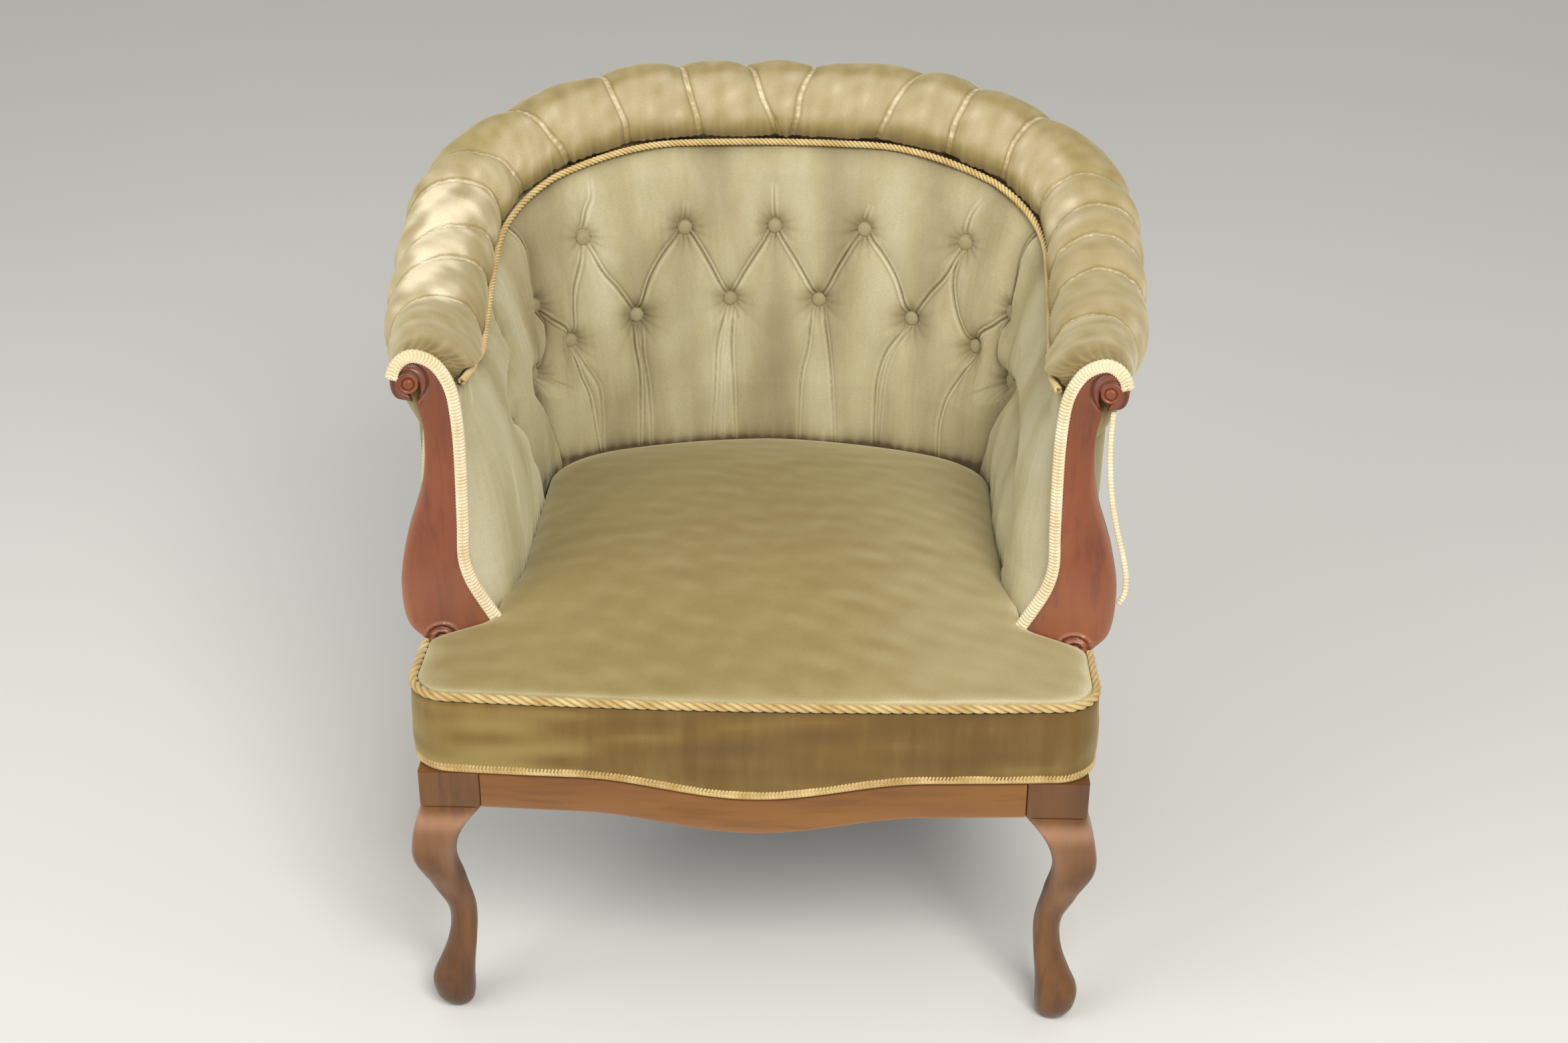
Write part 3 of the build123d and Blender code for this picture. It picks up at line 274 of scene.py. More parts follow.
# %% Plan lines
class PlanLine:
    """Crown arc, corner arc and an arm that may draw in as the square of its length."""

    def __init__(self, half_width, crown, crown_radius, corner_radius, end_half_width, end):
        self.half_width = half_width
        self.crown_radius, self.corner_radius = crown_radius, corner_radius
        self.corner_x = half_width - corner_radius
        self.crown_y = crown - crown_radius
        rise = math.sqrt((crown_radius - corner_radius) ** 2 - self.corner_x ** 2)
        self.corner_y = self.crown_y + rise
        self.turn = math.atan2(self.corner_x, rise)
        self.draw_in = half_width - end_half_width
        self.arm = self.corner_y - end
        self.crown_length = crown_radius * self.turn
        self.corner_length = corner_radius * (math.pi / 2 - self.turn)
        self.length = self.crown_length + self.corner_length + self.arm

    def parts_of(self, way):
        """Which part each way falls in (0, 1, 2) and its share of that part."""
        way = np.abs(way)
        bend = self.crown_length + self.corner_length
        part = np.where(way <= self.crown_length, 0, np.where(way <= bend, 1, 2))
        share = np.select([part == 0, part == 1],
                          [way / self.crown_length, (way - self.crown_length) / self.corner_length],
                          (way - bend) / self.arm)
        return part, share

    def at(self, part, share):
        """Points and outward normals: arcs turn by an angle, the arm is x = half - draw t^2."""
        angle = np.select([part == 0, part == 1],
                          [self.turn * share, self.turn + (math.pi / 2 - self.turn) * share],
                          math.pi / 2 + np.arctan(2 * self.draw_in * share / self.arm))
        x = np.select([part == 0, part == 1],
                      [self.crown_radius * np.sin(angle),
                       self.corner_x + self.corner_radius * np.sin(angle)],
                      self.half_width - self.draw_in * share ** 2)
        y = np.select([part == 0, part == 1],
                      [self.crown_y + self.crown_radius * np.cos(angle),
                       self.corner_y + self.corner_radius * np.cos(angle)],
                      self.corner_y - self.arm * share)
        return x, y, np.sin(angle), np.cos(angle)

    def half_width_at(self, y, inside):
        """Half the width at y of the line drawn in by a distance."""
        crown, corner = self.crown_radius - inside, self.corner_radius - inside
        bend = self.corner_x + np.sqrt(np.maximum(corner ** 2 - (y - self.corner_y) ** 2, 0))
        back = np.sqrt(np.maximum(crown ** 2 - (y - self.crown_y) ** 2, 0))
        return np.where(y <= self.corner_y, self.half_width - inside,
                        np.where(y <= self.corner_y + corner * math.cos(self.turn), bend, back))


SIDES = ((1, "left"), (-1, "right"))        # the sign of X on each of the sitter's sides
BLOCK, BLOCK_OUTER, BLOCK_FRONT, BLOCK_LOW = 55.0, 296.0, -335.0, 228.0    # the front corners
SEAT_LEVEL, RAIL_TOP, RAIL_BOTTOM, BORDER_TOP = 360.0, 300.0, 232.0, 336.0
BACK_HEIGHT, ARM_HEIGHT = 694.0, 562.0
BACK_REACH, FALL_LENGTH = 110.0, 500.0     # the level part of the top line, and its fall
SEAT_END, TOP_END = -209, -179             # where the arms end at the seat and at the top
SEAT_HALF, SEAT_REAR, SILL_CROWN = 280, 242, 478
seat_line = PlanLine(SEAT_HALF, SEAT_REAR, SILL_CROWN, 130, SEAT_HALF, SEAT_END)
top_line = PlanLine(322, 304, 620, 126, 294, TOP_END)
facing_lean = (TOP_END - SEAT_END) / (ARM_HEIGHT - SEAT_LEVEL)
sill_front = SEAT_END - (SEAT_LEVEL - RAIL_TOP) * facing_lean
sill_line = PlanLine(291, 250, SILL_CROWN, 135, 291, sill_front)
front_line = PlanLine(302, 341, 4360, 38, 302, 226)
arm_end = top_line.length
print("half the top line", round(arm_end, 1), "mm; half the front",
      round(front_line.length, 1), "mm")


# %% Standing sections
def roll_height(way):
    """Level at the back, then a smooth fall along each arm."""
    fall = smooth_step((np.abs(way) - BACK_REACH) / FALL_LENGTH)
    return BACK_HEIGHT - (BACK_HEIGHT - ARM_HEIGHT) * fall


class Stations:
    """Standing planes across the horseshoe, one for each way; arrays broadcast over a section."""

    def __init__(self, way):
        self.way = np.asarray(way, float)
        self.side = np.where(self.way < 0, -1.0, 1.0)
        part, share = top_line.parts_of(self.way)
        self.arm_share = np.where(part == 2, share, 0.0)
        tx, ty, self.nx, self.ny = top_line.at(part, share)
        sx, sy, _, _ = seat_line.at(part, share)
        lx, ly, _, _ = sill_line.at(part, share)
        self.top, self.seat, self.sill = (tx, ty), (sx, sy), (lx, ly)
        self.height = roll_height(self.way)

    def spot(self, out, z):
        """Seat point to top point by height, then out along the normal."""
        rise = (z - SEAT_LEVEL) / (self.height - SEAT_LEVEL)
        x = self.seat[0] + (self.top[0] - self.seat[0]) * rise + self.nx * out
        y = self.seat[1] + (self.top[1] - self.seat[1]) * rise + self.ny * out
        return stacked(self.side * x, y, z)

    def roll_spot(self, out, up):
        """Out and up from the top line."""
        return self.spot(out, self.height + up)

    def sill_spot(self, out, z):
        """Out from the seat rails, with the arm's lean."""
        y = self.sill[1] + self.ny * out + self.arm_share * facing_lean * (z - RAIL_TOP)
        return stacked(self.side * (self.sill[0] + self.nx * out), y, z)


def front_spot(way, out, z):
    """Points by the seat's front line, out from the border's face."""
    side = np.where(np.asarray(way) < 0, -1.0, 1.0)
    x, y, nx, ny = front_line.at(*front_line.parts_of(way))
    return stacked(side * (x + nx * out), -(y + ny * out), z)


def front_normals(ways):
    """Outward normals of the front line, in the chair's own axes."""
    _, _, nx, ny = front_line.at(*front_line.parts_of(ways))
    return np.stack([np.sign(ways) * nx, -ny, 0 * nx], -1)


def front_inside(ways, inset):
    """Plan points of the front line drawn in by a distance."""
    x, y, nx, ny = front_line.at(*front_line.parts_of(ways))
    return np.stack([x - nx * inset, -(y - ny * inset)], 1)


def column(values):
    """Values as a column, so that they broadcast against a section."""
    return np.asarray(values, float)[:, None]


levels = [round(float(roll_height(way)), 1) for way in (0.0, arm_end)]
print("the top line falls from", levels[0], "to", levels[1], "mm")

# %% [markdown]
# ## Small unevenness
#
# Upholstery is never perfectly even. A sum of a few sine waves with seeded directions gives a
# gentle, repeatable wander over any surface, with no texture image and no stored data.

# %% Wander
def wander(u, v, wavelength, seed, waves=9):
    """Sum of sines sin(2 pi (u cos a + v sin a) / w + phase), about -1 to 1."""
    draw = np.random.default_rng(seed)
    total = np.zeros(np.broadcast(u, v).shape)
    for angle, stretch, phase in zip(draw.uniform(0, math.pi, waves), draw.uniform(0.6, 1.6, waves),
                                     draw.uniform(0, 2 * math.pi, waves)):
        length = wavelength * stretch
        ahead = u * math.cos(angle) + v * math.sin(angle)
        total = total + np.sin(2 * math.pi * ahead / length + phase)
    return total / math.sqrt(waves)


sample = wander(column(np.linspace(0, 900, 50)), np.linspace(0, 500, 40), 60, 1)
print("wander spread", round(float(sample.std()), 2))

# %% [markdown]
# ## The loose braid
#
# On the sitter's left a length of the flat braid has come away from the cover behind the facing.
# It hangs from under the scroll, bows outward and returns to the cover's edge. It is a limp cord
# with a given route: a NURBS curve through the same points as the CAD piece. The flat ribbed
# band is then built along the curve's own points.

# %% Route of the loose braid
LOOSE_ROUTE = [(0.31062, -0.19085, 0.55775), (0.30922, -0.19326, 0.54125),
               (0.30928, -0.19961, 0.51456), (0.31211, -0.20626, 0.48272),
               (0.31895, -0.21045, 0.45141), (0.32662, -0.21498, 0.42525),
               (0.33012, -0.21882, 0.40525), (0.32862, -0.22105, 0.38975),
               (0.32402, -0.22128, 0.38325)]


def route_points(route):
    """Points of the open NURBS curve of order 3 that has the route as its control points."""
    curve = bpy.data.curves.new("loose_route", "CURVE")
    curve.dimensions = "3D"
    curve.resolution_u = 40
    spline = curve.splines.new("NURBS")
    spline.points.add(len(route) - 1)
    for point, place in zip(spline.points, route):
        point.co = (*place, 1.0)
    spline.order_u = 3
    spline.use_endpoint_u = True
    holder = bpy.data.objects.new("loose_route", curve)
    mesh = bpy.data.meshes.new_from_object(holder)
    found = np.array([v.co for v in mesh.vertices], float)
    bpy.data.meshes.remove(mesh)
    bpy.data.objects.remove(holder)
    return found


loose_line = route_points(LOOSE_ROUTE)

# %% [markdown]
# ## Finishes
#
# Each finish is a small network of shader nodes, so it has no fixed resolution. Velvet is a
# short pile on a woven ground: its colour wanders with the lie of the pile, pleats and rims are
# rubbed pale and carry painted sheen, and sheen lights it where the eye grazes it. A photograph
# of the cloth could be wrapped round it instead, but noise on Object coordinates has the real
# scale everywhere and never stretches. A vertex attribute named tone says where the pile is
# rubbed pale or has a painted highlight (above 0), and where it has painted shade (below 0), so
# those marks stay on the cloth.

# %% Node helpers
def linear(*srgb):
    """Linear colour from sRGB values of 0 to 255."""
    c = np.array(srgb, float) / 255
    return tuple(np.where(c <= 0.04045, c / 12.92, ((c + 0.055) / 1.055) ** 2.4)) + (1.0,)


class Finish:
    """A material around one Principled shader, with short ways to add nodes."""

    def __init__(self, name, **sockets):
        self.material = bpy.data.materials.new(name)
        self.material.use_nodes = True
        self.tree = self.material.node_tree
        self.shader = self.tree.nodes["Principled BSDF"]
        for socket, value in sockets.items():
            self.shader.inputs[socket.replace("_", " ")].default_value = value
        self.place = self.tree.nodes.new("ShaderNodeTexCoord")

    def node(self, kind, inputs=None, **settings):
        """A shader node with its inputs fed and its settings set."""
        made = self.tree.nodes.new("ShaderNode" + kind)
        for key, value in settings.items():
            setattr(made, key, value)
        for key, value in (inputs or {}).items():
            self.feed(value, made.inputs[key])
        return made

    def feed(self, value, socket):
        """A link where the value is a socket, else the socket's own value."""
        if isinstance(value, bpy.types.NodeSocket):
            self.tree.links.new(value, socket)
        else:
            socket.default_value = value

    def scaled(self, scale, source="Object"):
        """Coordinates of a source, stretched along each axis."""
        inputs = {"Vector": self.place.outputs[source], "Scale": scale}
        return self.node("Mapping", inputs).outputs[0]

    def noise(self, scale, detail=3.0, stretch=(1, 1, 1), roughness=0.55):
        """Noise on Object coordinates, at a scale per metre."""
        inputs = {"Vector": self.scaled(stretch), "Scale": scale, "Detail": detail,
                  "Roughness": roughness}
        return self.node("TexNoise", inputs).outputs[0]

    def wave(self, source, stretch, direction, scale, distortion):
        """Straight bands along one direction of a source's coordinates."""
        inputs = {"Vector": self.scaled(stretch, source), "Scale": scale,
                  "Distortion": distortion, "Detail": 1.0}
        made = self.node("TexWave", inputs, wave_type="BANDS", bands_direction=direction)
        return made.outputs["Fac"]

    def math(self, operation, a, b):
        """Two values joined by a Math node."""
        return self.node("Math", {0: a, 1: b}, operation=operation).outputs[0]

    def ramp(self, value, low, high, to_low=0.0, to_high=1.0):
        """A value mapped from one range to another, and clamped."""
        inputs = {"Value": value, "From Min": low, "From Max": high,
                  "To Min": to_low, "To Max": to_high}
        return self.node("MapRange", inputs, clamp=True).outputs[0]

    def mix(self, factor, a, b):
        """Colour a, mixed towards b by the factor."""
        made = self.node("Mix", data_type="RGBA")
        self.feed(factor, made.inputs[0])
        self.feed(a, made.inputs[6])
        self.feed(b, made.inputs[7])
        return made.outputs[2]

    def tone(self):
        """The mark written on the mesh: rubbing and painted highlights above 0, painted shade below
        0.
        """
        return self.node("Attribute", attribute_name="tone").outputs["Fac"]

    def finish(self, colour, height, strength, depth, roughness=None):
        """Colour, roughness and a bump of a given strength and depth, wired to the shader."""
        self.feed(colour, self.shader.inputs["Base Color"])
        if roughness is not None:
            self.feed(roughness, self.shader.inputs["Roughness"])
        bump = self.node("Bump", {"Height": height, "Strength": strength, "Distance": depth})
        self.feed(bump.outputs[0], self.shader.inputs["Normal"])
        return self.material


print("node helpers ready")


# %% Velvet
def velvet(name, ground, shaded, pale, rubbed_and_sheen, streaky=0.35):
    """Ground and shaded colours mixed by slow noise. Tone above 0 turns it pale, then to the
    worn-and-sheen colour (wear and painted sheen); tone below 0 darkens it to a painted-shade
    brown.
    """
    ground, shaded, pale, rubbed_and_sheen = (linear(*c) for c in (ground, shaded, pale, rubbed_and_sheen))
    f = Finish(name, Roughness=0.85, Sheen_Weight=0.55, Sheen_Roughness=0.42,
               Sheen_Tint=linear(226, 224, 190), Specular_IOR_Level=0.14)
    lie = f.noise(7.0, 3.0, (1.0, 1.0, 0.55))
    streak = f.noise(60.0, 4.0, (1.0, 1.0, 0.16))
    pile = f.noise(900.0, 2.0)
    tone = f.tone()
    body = f.mix(f.ramp(lie, 0.32, 0.7), shaded, ground)
    body = f.mix(f.ramp(streak, 0.42, 0.78, 0.0, streaky), body, pale)
    # tone above 0: rubbed pile and painted sheen highlights, pale first, then the worn-and-sheen
    # colour
    body = f.mix(f.ramp(tone, 0.0, 0.5), body, pale)
    body = f.mix(f.ramp(tone, 0.5, 1.0), body, rubbed_and_sheen)
    # tone below 0: painted shade, darkening towards this brown
    body = f.mix(f.ramp(tone, 0.0, -1.0, 0.0, 0.9), body, linear(84, 66, 44))
    body = f.mix(f.ramp(pile, 0.35, 0.75, 0.0, 0.22), body, linear(108, 94, 56))
    height = f.math("ADD", f.math("MULTIPLY", pile, 0.5), streak)
    return f.finish(body, height, streaky, 0.0012, f.ramp(lie, 0.3, 0.7, 0.95, 0.82))


roll_velvet, back_velvet, seat_velvet, border_velvet = (velvet(*row) for row in (
    ("roll_velvet", (168, 151, 101), (156, 137, 88), (192, 177, 141), (246, 232, 198)),
    ("back_velvet", (190, 181, 142), (174, 163, 126), (208, 202, 172), (236, 232, 208)),
    ("seat_velvet", (150, 134, 87), (143, 125, 80), (180, 168, 128), (222, 214, 180), 0.14),
    ("border_velvet", (124, 96, 52), (108, 80, 42), (154, 134, 80), (212, 196, 146))))
print("velvets", [m.name for m in (roll_velvet, back_velvet, seat_velvet, border_velvet)])

# %% [markdown]
# ## Wood, cord, braid and the plain cloths
#
# The show-wood is polished mahogany: long dark figure along the grain, fine pores and a clear
# coat, redder on the facings and browner on the legs, with painted highlights and painted shade
# from the tone on the mesh. The cord and the braid are built strand by strand, so their finish
# only adds thread, soil and painted shade in their grooves. The linings are plain weaves.

# %% Wood
def polished_wood(name, light, dark, deep, stretch, gloss=0.34):
    """Long noise along the grain mixes two browns, pores darken it, and a coat shines. Tone paints
    shade below 0 and a pinkish highlight above 0.
    """
    light, dark, deep = linear(*light), linear(*dark), linear(*deep)
    f = Finish(name, Coat_Weight=0.25, Coat_Roughness=0.2, Specular_IOR_Level=0.4)
    figure = f.noise(16.0, 5.0, stretch, roughness=0.62)
    grain = f.noise(120.0, 4.0, stretch)
    pores = f.noise(520.0, 2.0, stretch)
    body = f.mix(f.ramp(figure, 0.34, 0.68), dark, light)
    body = f.mix(f.ramp(grain, 0.5, 0.72, 0.0, 0.45), body, deep)
    # painted shade where tone is below 0, and a painted pinkish highlight where it is above 0
    body = f.mix(f.ramp(f.tone(), 0.0, -1.0, 0.0, 0.75), body, linear(58, 32, 26))
    body = f.mix(f.ramp(f.tone(), 0.0, 1.0, 0.0, 0.6), body, linear(206, 158, 128))
    height = f.math("ADD", f.math("MULTIPLY", pores, 0.4), grain)
    return f.finish(body, height, 0.12, 0.0006, f.ramp(grain, 0.3, 0.7, gloss, gloss + 0.18))


facing_wood, leg_wood, apron_wood, frame_beech = (polished_wood(*row) for row in (
    ("facing_mahogany", (146, 82, 46), (116, 60, 38), (78, 42, 38), (1.0, 1.0, 0.12)),
    ("leg_mahogany", (130, 86, 40), (98, 62, 30), (72, 46, 28), (1.0, 1.0, 0.15)),
    ("apron_mahogany", (142, 94, 34), (114, 70, 26), (88, 52, 24), (0.1, 1.0, 1.0)),
    ("frame_beech", (190, 158, 112), (166, 132, 90), (132, 100, 66), (0.2, 0.2, 1.0), 0.6)))
print("woods", [m.name for m in (facing_wood, leg_wood, apron_wood, frame_beech)])


# %% Threads and plain cloths
def thread(name, light, dark, threads):
    """Threads to the metre from a wave along the piece's own UV, with soil from slow noise and
    painted shade where tone is below 0.
    """
    light, dark = linear(*light), linear(*dark)
    f = Finish(name, Roughness=0.6, Sheen_Weight=0.35, Sheen_Roughness=0.35, Specular_IOR_Level=0.3)
    soil = f.noise(45.0, 4.0)
    wave = f.wave("UV", (threads, 0, 0), "X", 1.0, 1.5)
    body = f.mix(f.ramp(soil, 0.35, 0.7), dark, light)
    # painted shade in the grooves between strands and ribs, where tone is below 0
    body = f.mix(f.ramp(f.tone(), 0.0, -1.0), body, linear(96, 70, 40))
    body = f.mix(f.math("MULTIPLY", wave, 0.25), body, dark)
    return f.finish(body, wave, 0.3, 0.0004)


def plain_weave(name, light, dark, threads):
    """Two crossed waves make a plain weave of so many threads to the metre."""
    light, dark = linear(*light), linear(*dark)
    f = Finish(name, Roughness=0.9, Sheen_Weight=0.15, Specular_IOR_Level=0.2)
    warp, weft = (f.wave("Object", (1, 1, 1), d, threads / 6.283, 0.6) for d in "XZ")
    weave = f.math("MULTIPLY", warp, weft)
    body = f.mix(weave, dark, light)
    body = f.mix(f.ramp(f.noise(12.0), 0.4, 0.7, 0.0, 0.35), body, dark)
    return f.finish(body, weave, 0.5, 0.0006)


seat_cord, roll_cord, cream_braid, gold_braid = (thread(*row) for row in (
    ("seat_cord", (232, 210, 150), (196, 164, 100), 1400),
    ("roll_cord", (252, 230, 168), (220, 188, 122), 1400),
    ("cream_braid", (250, 238, 208), (232, 214, 172), 1600),
    ("gold_braid", (232, 206, 146), (190, 156, 96), 1600)))
webbing, hessian, dust_cloth = (plain_weave(*row) for row in (
    ("jute_webbing", (150, 124, 86), (104, 82, 54), 700),
    ("hessian", (168, 142, 100), (122, 98, 66), 500),
    ("dust_cloth", (46, 44, 42), (28, 27, 26), 1500)))


def spring_wire():
    """Coppered wire, dulled by slow noise."""
    f = Finish("spring_wire", Metallic=1.0)
    dull = f.noise(70.0, 4.0)
    body = f.mix(dull, linear(150, 110, 84), linear(118, 98, 84))
    return f.finish(body, dull, 0.1, 0.0003, f.ramp(dull, 0.3, 0.7, 0.35, 0.6))


coppered = spring_wire()
print("finishes", len(bpy.data.materials))

# %% [markdown]
# ## Dressing a piece
#
# Every new piece rides on the chair's one body, stands for the CAD nodes it covers, and takes
# its finish.

# %% Dress
def dress(piece, finish, slot, *nodes):
    """Gives a new piece its finish and body, and the CAD nodes it stands for. The slot is not used.
    """
    piece.data.materials.clear()
    piece.data.materials.append(finish)
    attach(piece, "root")
    if nodes:
        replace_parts(piece, *nodes)
    print(piece.name, len(piece.data.polygons), "faces")
    return piece


# %% [markdown]
# ## The channelled roll
#
# The roll over the back and arms is one long sausage of stuffing. The velvet over it is drawn in
# by deep pleats, so it reads as a row of fat flutes, and a last long flute narrows and droops
# to its end behind each facing. An array of bent cylinders would repeat too evenly. Here one
# section is carried along the line, and its size follows the distance to the nearest pleat, as a
# rounded sine between pleats. Each pleat slants on the arms, and has one raised lip, rubbed pale
# with a painted sheen, and painted shade in its groove.

# %% Pleats and the size of the roll
ROLL_OUT, ROLL_UP = 45.5, 41.0      # half the roll's breadth and height
ROLL_ARC = 44.0                     # velvet to one radian round the roll, in mm
CREASE = 0.62                       # how far past level the section goes on the inner side
THIN_SIZE, SIZE_GAIN = 0.838, 0.192     # size at a pleat, and what it gains between pleats
# where each pleat lies at its outer end and at its inner end, from the middle of the back
RIGHT_PLEATS = ((38, 1), (104, 86), (187, 167), (284, 239), (362, 310), (402, 364), (483, 415),
                (531, 468), (597, 553))
LEFT_PLEATS = ((43, 20), (158, 118), (211, 196), (281, 265), (382, 343), (419, 414), (467, 450),
               (520, 510), (614, 578))
OUTER_ANGLE, INNER_ANGLE = 1.0, 3.5
BEYOND, END_FLUTE = 40, 110             # the last pleats stand past the ends; their half wave
ROLL_GAP = 0.3
roll_reach = arm_end - ROLL_GAP


def near_end(way, length, power=1.4):
    """0 along the roll, rising to 1 at its front ends as a power of the way gone."""
    return np.clip(1 - (roll_reach - np.abs(way)) / length, 0, 1) ** power


def crease_rise(way):
    """Share of its full rise that the crease inside has gained, by the way left to the end."""
    return np.interp(roll_reach - np.abs(way), (0, 20, 45, 75, 105, 135, 170),
                     (1, 0.97, 0.87, 0.68, 0.46, 0.2, 0))


def crease_draw(way):
    """Share of its full move outward, which comes only in the last 30 mm."""
    return np.interp(roll_reach - np.abs(way), (0, 10, 20, 35, 60, 90, 120),
                     (1, 0.6, 0.25, -0.05, -0.25, -0.15, 0))


def flute_size(way, angle):
    """Size of the roll, the worn, painted-sheen lip and painted-shade groove of its pleats, and the
    distance to the nearest one. A pleat's place moves in a straight line with the angle. Between
    pleats the size is low + gain sin(pi t)^0.5."""
    past_end = arm_end + BEYOND
    pairs = np.array([(-past_end,) * 2, *[(-a, -b) for a, b in reversed(RIGHT_PLEATS)],
                      *LEFT_PLEATS, (past_end,) * 2], float)
    share = np.clip((angle - OUTER_ANGLE) / (INNER_ANGLE - OUTER_ANGLE), -0.3, 1.1)
    marks = pairs[:, 0] + (pairs[:, 1] - pairs[:, 0]) * share[:, None]
    place = way + 0.9 * wander(way * 0.1, angle * ROLL_ARC, 38, 15)
    after = np.clip((place[..., None] >= marks[None]).sum(-1), 1, len(pairs) - 1)
    columns = np.arange(len(angle))[None]
    low, high = marks[columns, after - 1], marks[columns, after]
    t = np.clip((place - low) / (high - low), 0, 1)
    from_pleat = np.where(after == 1, high - place, place - low)
    end_plump = np.clip(np.sin(np.pi * np.minimum(from_pleat / END_FLUTE, 0.5)), 0, 1) ** 0.5
    ends = (after == 1) | (after == len(pairs) - 1)
    plump = np.where(ends, end_plump, np.sin(np.pi * t) ** 0.5)
    toward = np.where(place - low < high - place, place - low, place - high) * np.sign(way)
    ruffle = 0.75 + 0.25 * np.sin(angle * ROLL_ARC / 1.05 + 2 * np.sin(angle * 9))
    # lip: raised, and rubbed pale with a painted sheen in the tone; groove: cut in, and painted
    # shade in the tone
    lip = hump(toward, 0.9, 2.5, 4) * ruffle
    groove = hump(toward, -2.7, 1.1) + 0.8 * hump(toward, 4.3, 1.2)
    size = THIN_SIZE + SIZE_GAIN * plump + 0.026 * lip - 0.016 * groove
    return size, lip - 0.4 * groove, np.abs(toward)


# the outline that the roll shrinks to behind each facing, by angle
END_ANGLES = (-0.45, 0.0, 0.4, 0.8, 1.2, 1.6, 2.0, 2.4, 2.8, 3.14, 3.45, 3.76)
END_OUT = (6, 18, 24, 24, 19, 8, -4, -14.5, -22, -26, -28.5, -29.5)
END_UP = (-10, 6, 18, 29, 36, 38.5, 37, 32.5, 27.5, 22, 17, 13)


def roll_wear_and_sheen(w, angles):
    """Where the roll is paler: worn patches on one arm, and painted sheen on the inner half and
    along the arms.
    """
    worn = np.clip(0.4 * wander(w, angles * 40, 45, 14) + 0.75, 0, 1) * hump(angles, 1.65, 0.65, 4)
    worn = worn * smooth_step((-w - 330) / 110) * (1 - smooth_step((-w - 560) / 60))
    # painted sheen on the inner lower half, and painted light along the arms
    inner_half = smooth_step((angles - 1.9) / 0.35) * (1 - smooth_step((np.abs(w) - 400) / 90))
    return worn + 0.4 * inner_half + 0.22 * smooth_step((np.abs(w) - 330) / 120)


def roll_band():
    """The roll's closed sections: an ellipse over the top from below the outside to the crease
    inside, then a notch that goes round the top rail."""
    w = column(np.linspace(-roll_reach, roll_reach, 1240))
    s = Stations(w)
    angles = np.concatenate([np.linspace(-0.45, 0.15, 9)[:-1],
                             np.linspace(0.15, math.pi + CREASE, 57)])
    arc = angles * ROLL_ARC
    from_end = roll_reach - np.abs(w)
    size, rub_and_painted_light, near = flute_size(w, angles)
    lump = wander(w, arc, 46, 11) * 0.5
    thread_lines = np.exp(-near / 9) * wander(w * 0.15, arc, 7, 12) * 0.45
    cap = smooth_step((np.abs(w) - (arm_end - 30)) / 28)
    gather = np.abs(np.sin(angles * 13 + 0.6 * np.sin(angles * 7)))
    near_crease = smooth_step((angles - math.pi + 0.1) / (CREASE + 0.1))
    puckers = wander(w, angles * 0, 9, 13) * near_crease * 0.7
    swell = np.where(angles > math.pi, (size + 1) / 2 * (angles - math.pi) / CREASE
                     + size * (1 - (angles - math.pi) / CREASE), size)
    extra = lump + thread_lines + puckers - 2.0 * gather * cap
    low_part = smooth_step((0.45 - angles) / 0.6) * smooth_step(1 - from_end / 110)
    outer = np.interp(from_end, (0, 50, 90, 130, 165), (0.74, 0.75, 0.83, 0.95, 1.0))
    slim = np.where(angles < math.pi / 2, outer, 1.0) * (1 - 0.3 * low_part)
    out = (ROLL_OUT * swell + extra) * np.cos(angles) * slim
    up = (ROLL_UP * swell + extra) * np.sin(angles)
    # near its ends the section shrinks to the end outline, later on the crease's side
    dome = (1 - (1 - np.clip(from_end / 50, 0, 1)) ** 2) ** 0.6
    crease_share = smooth_step((angles - 2.6) / 1.1)
    full_out = (1 - crease_share) * dome + crease_share * (1 - crease_draw(w))
    full_up = (1 - crease_share) * dome + crease_share * (1 - crease_rise(w))
    out = np.interp(angles, END_ANGLES, END_OUT) * (1 - full_out) + out * full_out
    up = np.interp(angles, END_ANGLES, END_UP) * (1 - full_up) + up * full_up
    notch_out, notch_up = np.array([(-13.3, -30.0), (-13.3, -13.7), (11.8, -13.7), (11.8, -34.0),
                                    (19.8, -34.0)]).T
    tuck = (9.0 + 5.3 * (notch_out > 15)) * near_end(w, 60) * (notch_out > 0)
    lift = 35 * crease_rise(w) * (notch_up < -29) * (notch_out < 0)
    band = s.roll_spot(np.concatenate([notch_out - tuck, out], 1),
                       np.concatenate([notch_up + lift, up], 1))
    # tone: the pleats' worn lips with painted sheen and their grooves' painted shade, then wear and
    # painted sheen
    tone = np.clip(rub_and_painted_light, -1, 1) * (0.85 + 0.15 * wander(w, arc, 12, 17))
    tone = tone + roll_wear_and_sheen(w, angles) * (1 - np.clip(np.abs(rub_and_painted_light), 0, 1))
    # a paler band along the upper outer side, and a slow random wander
    tone = tone + 0.25 * hump(angles, 0.5, 0.5) + 0.12 * wander(w, angles * 30, 22, 16)
    # painted shade in the crease above the cord, and at the ends in the gathers
    tone = tone * (1 - 0.6 * near_crease) - 0.72 * near_crease * (1 - 0.4 * cap)
    end_shade = smooth_step((np.abs(w) - (arm_end - 34)) / 30)
    tone = tone - 0.75 * end_shade * (0.35 + 0.65 * gather)
    no_tone = np.zeros((len(w), len(notch_out)))
    tone = np.concatenate([no_tone, np.clip(tone, -1, 1)], 1)
    cloth = stacked(w, np.concatenate([no_tone[0], arc]))
    return band, cloth, tone


band, cloth, tone = roll_band()
roll = solid("channelled_roll_velvet", band, cloth, tone)
dress(roll, roll_velvet, "velvet", "channelled_roll")

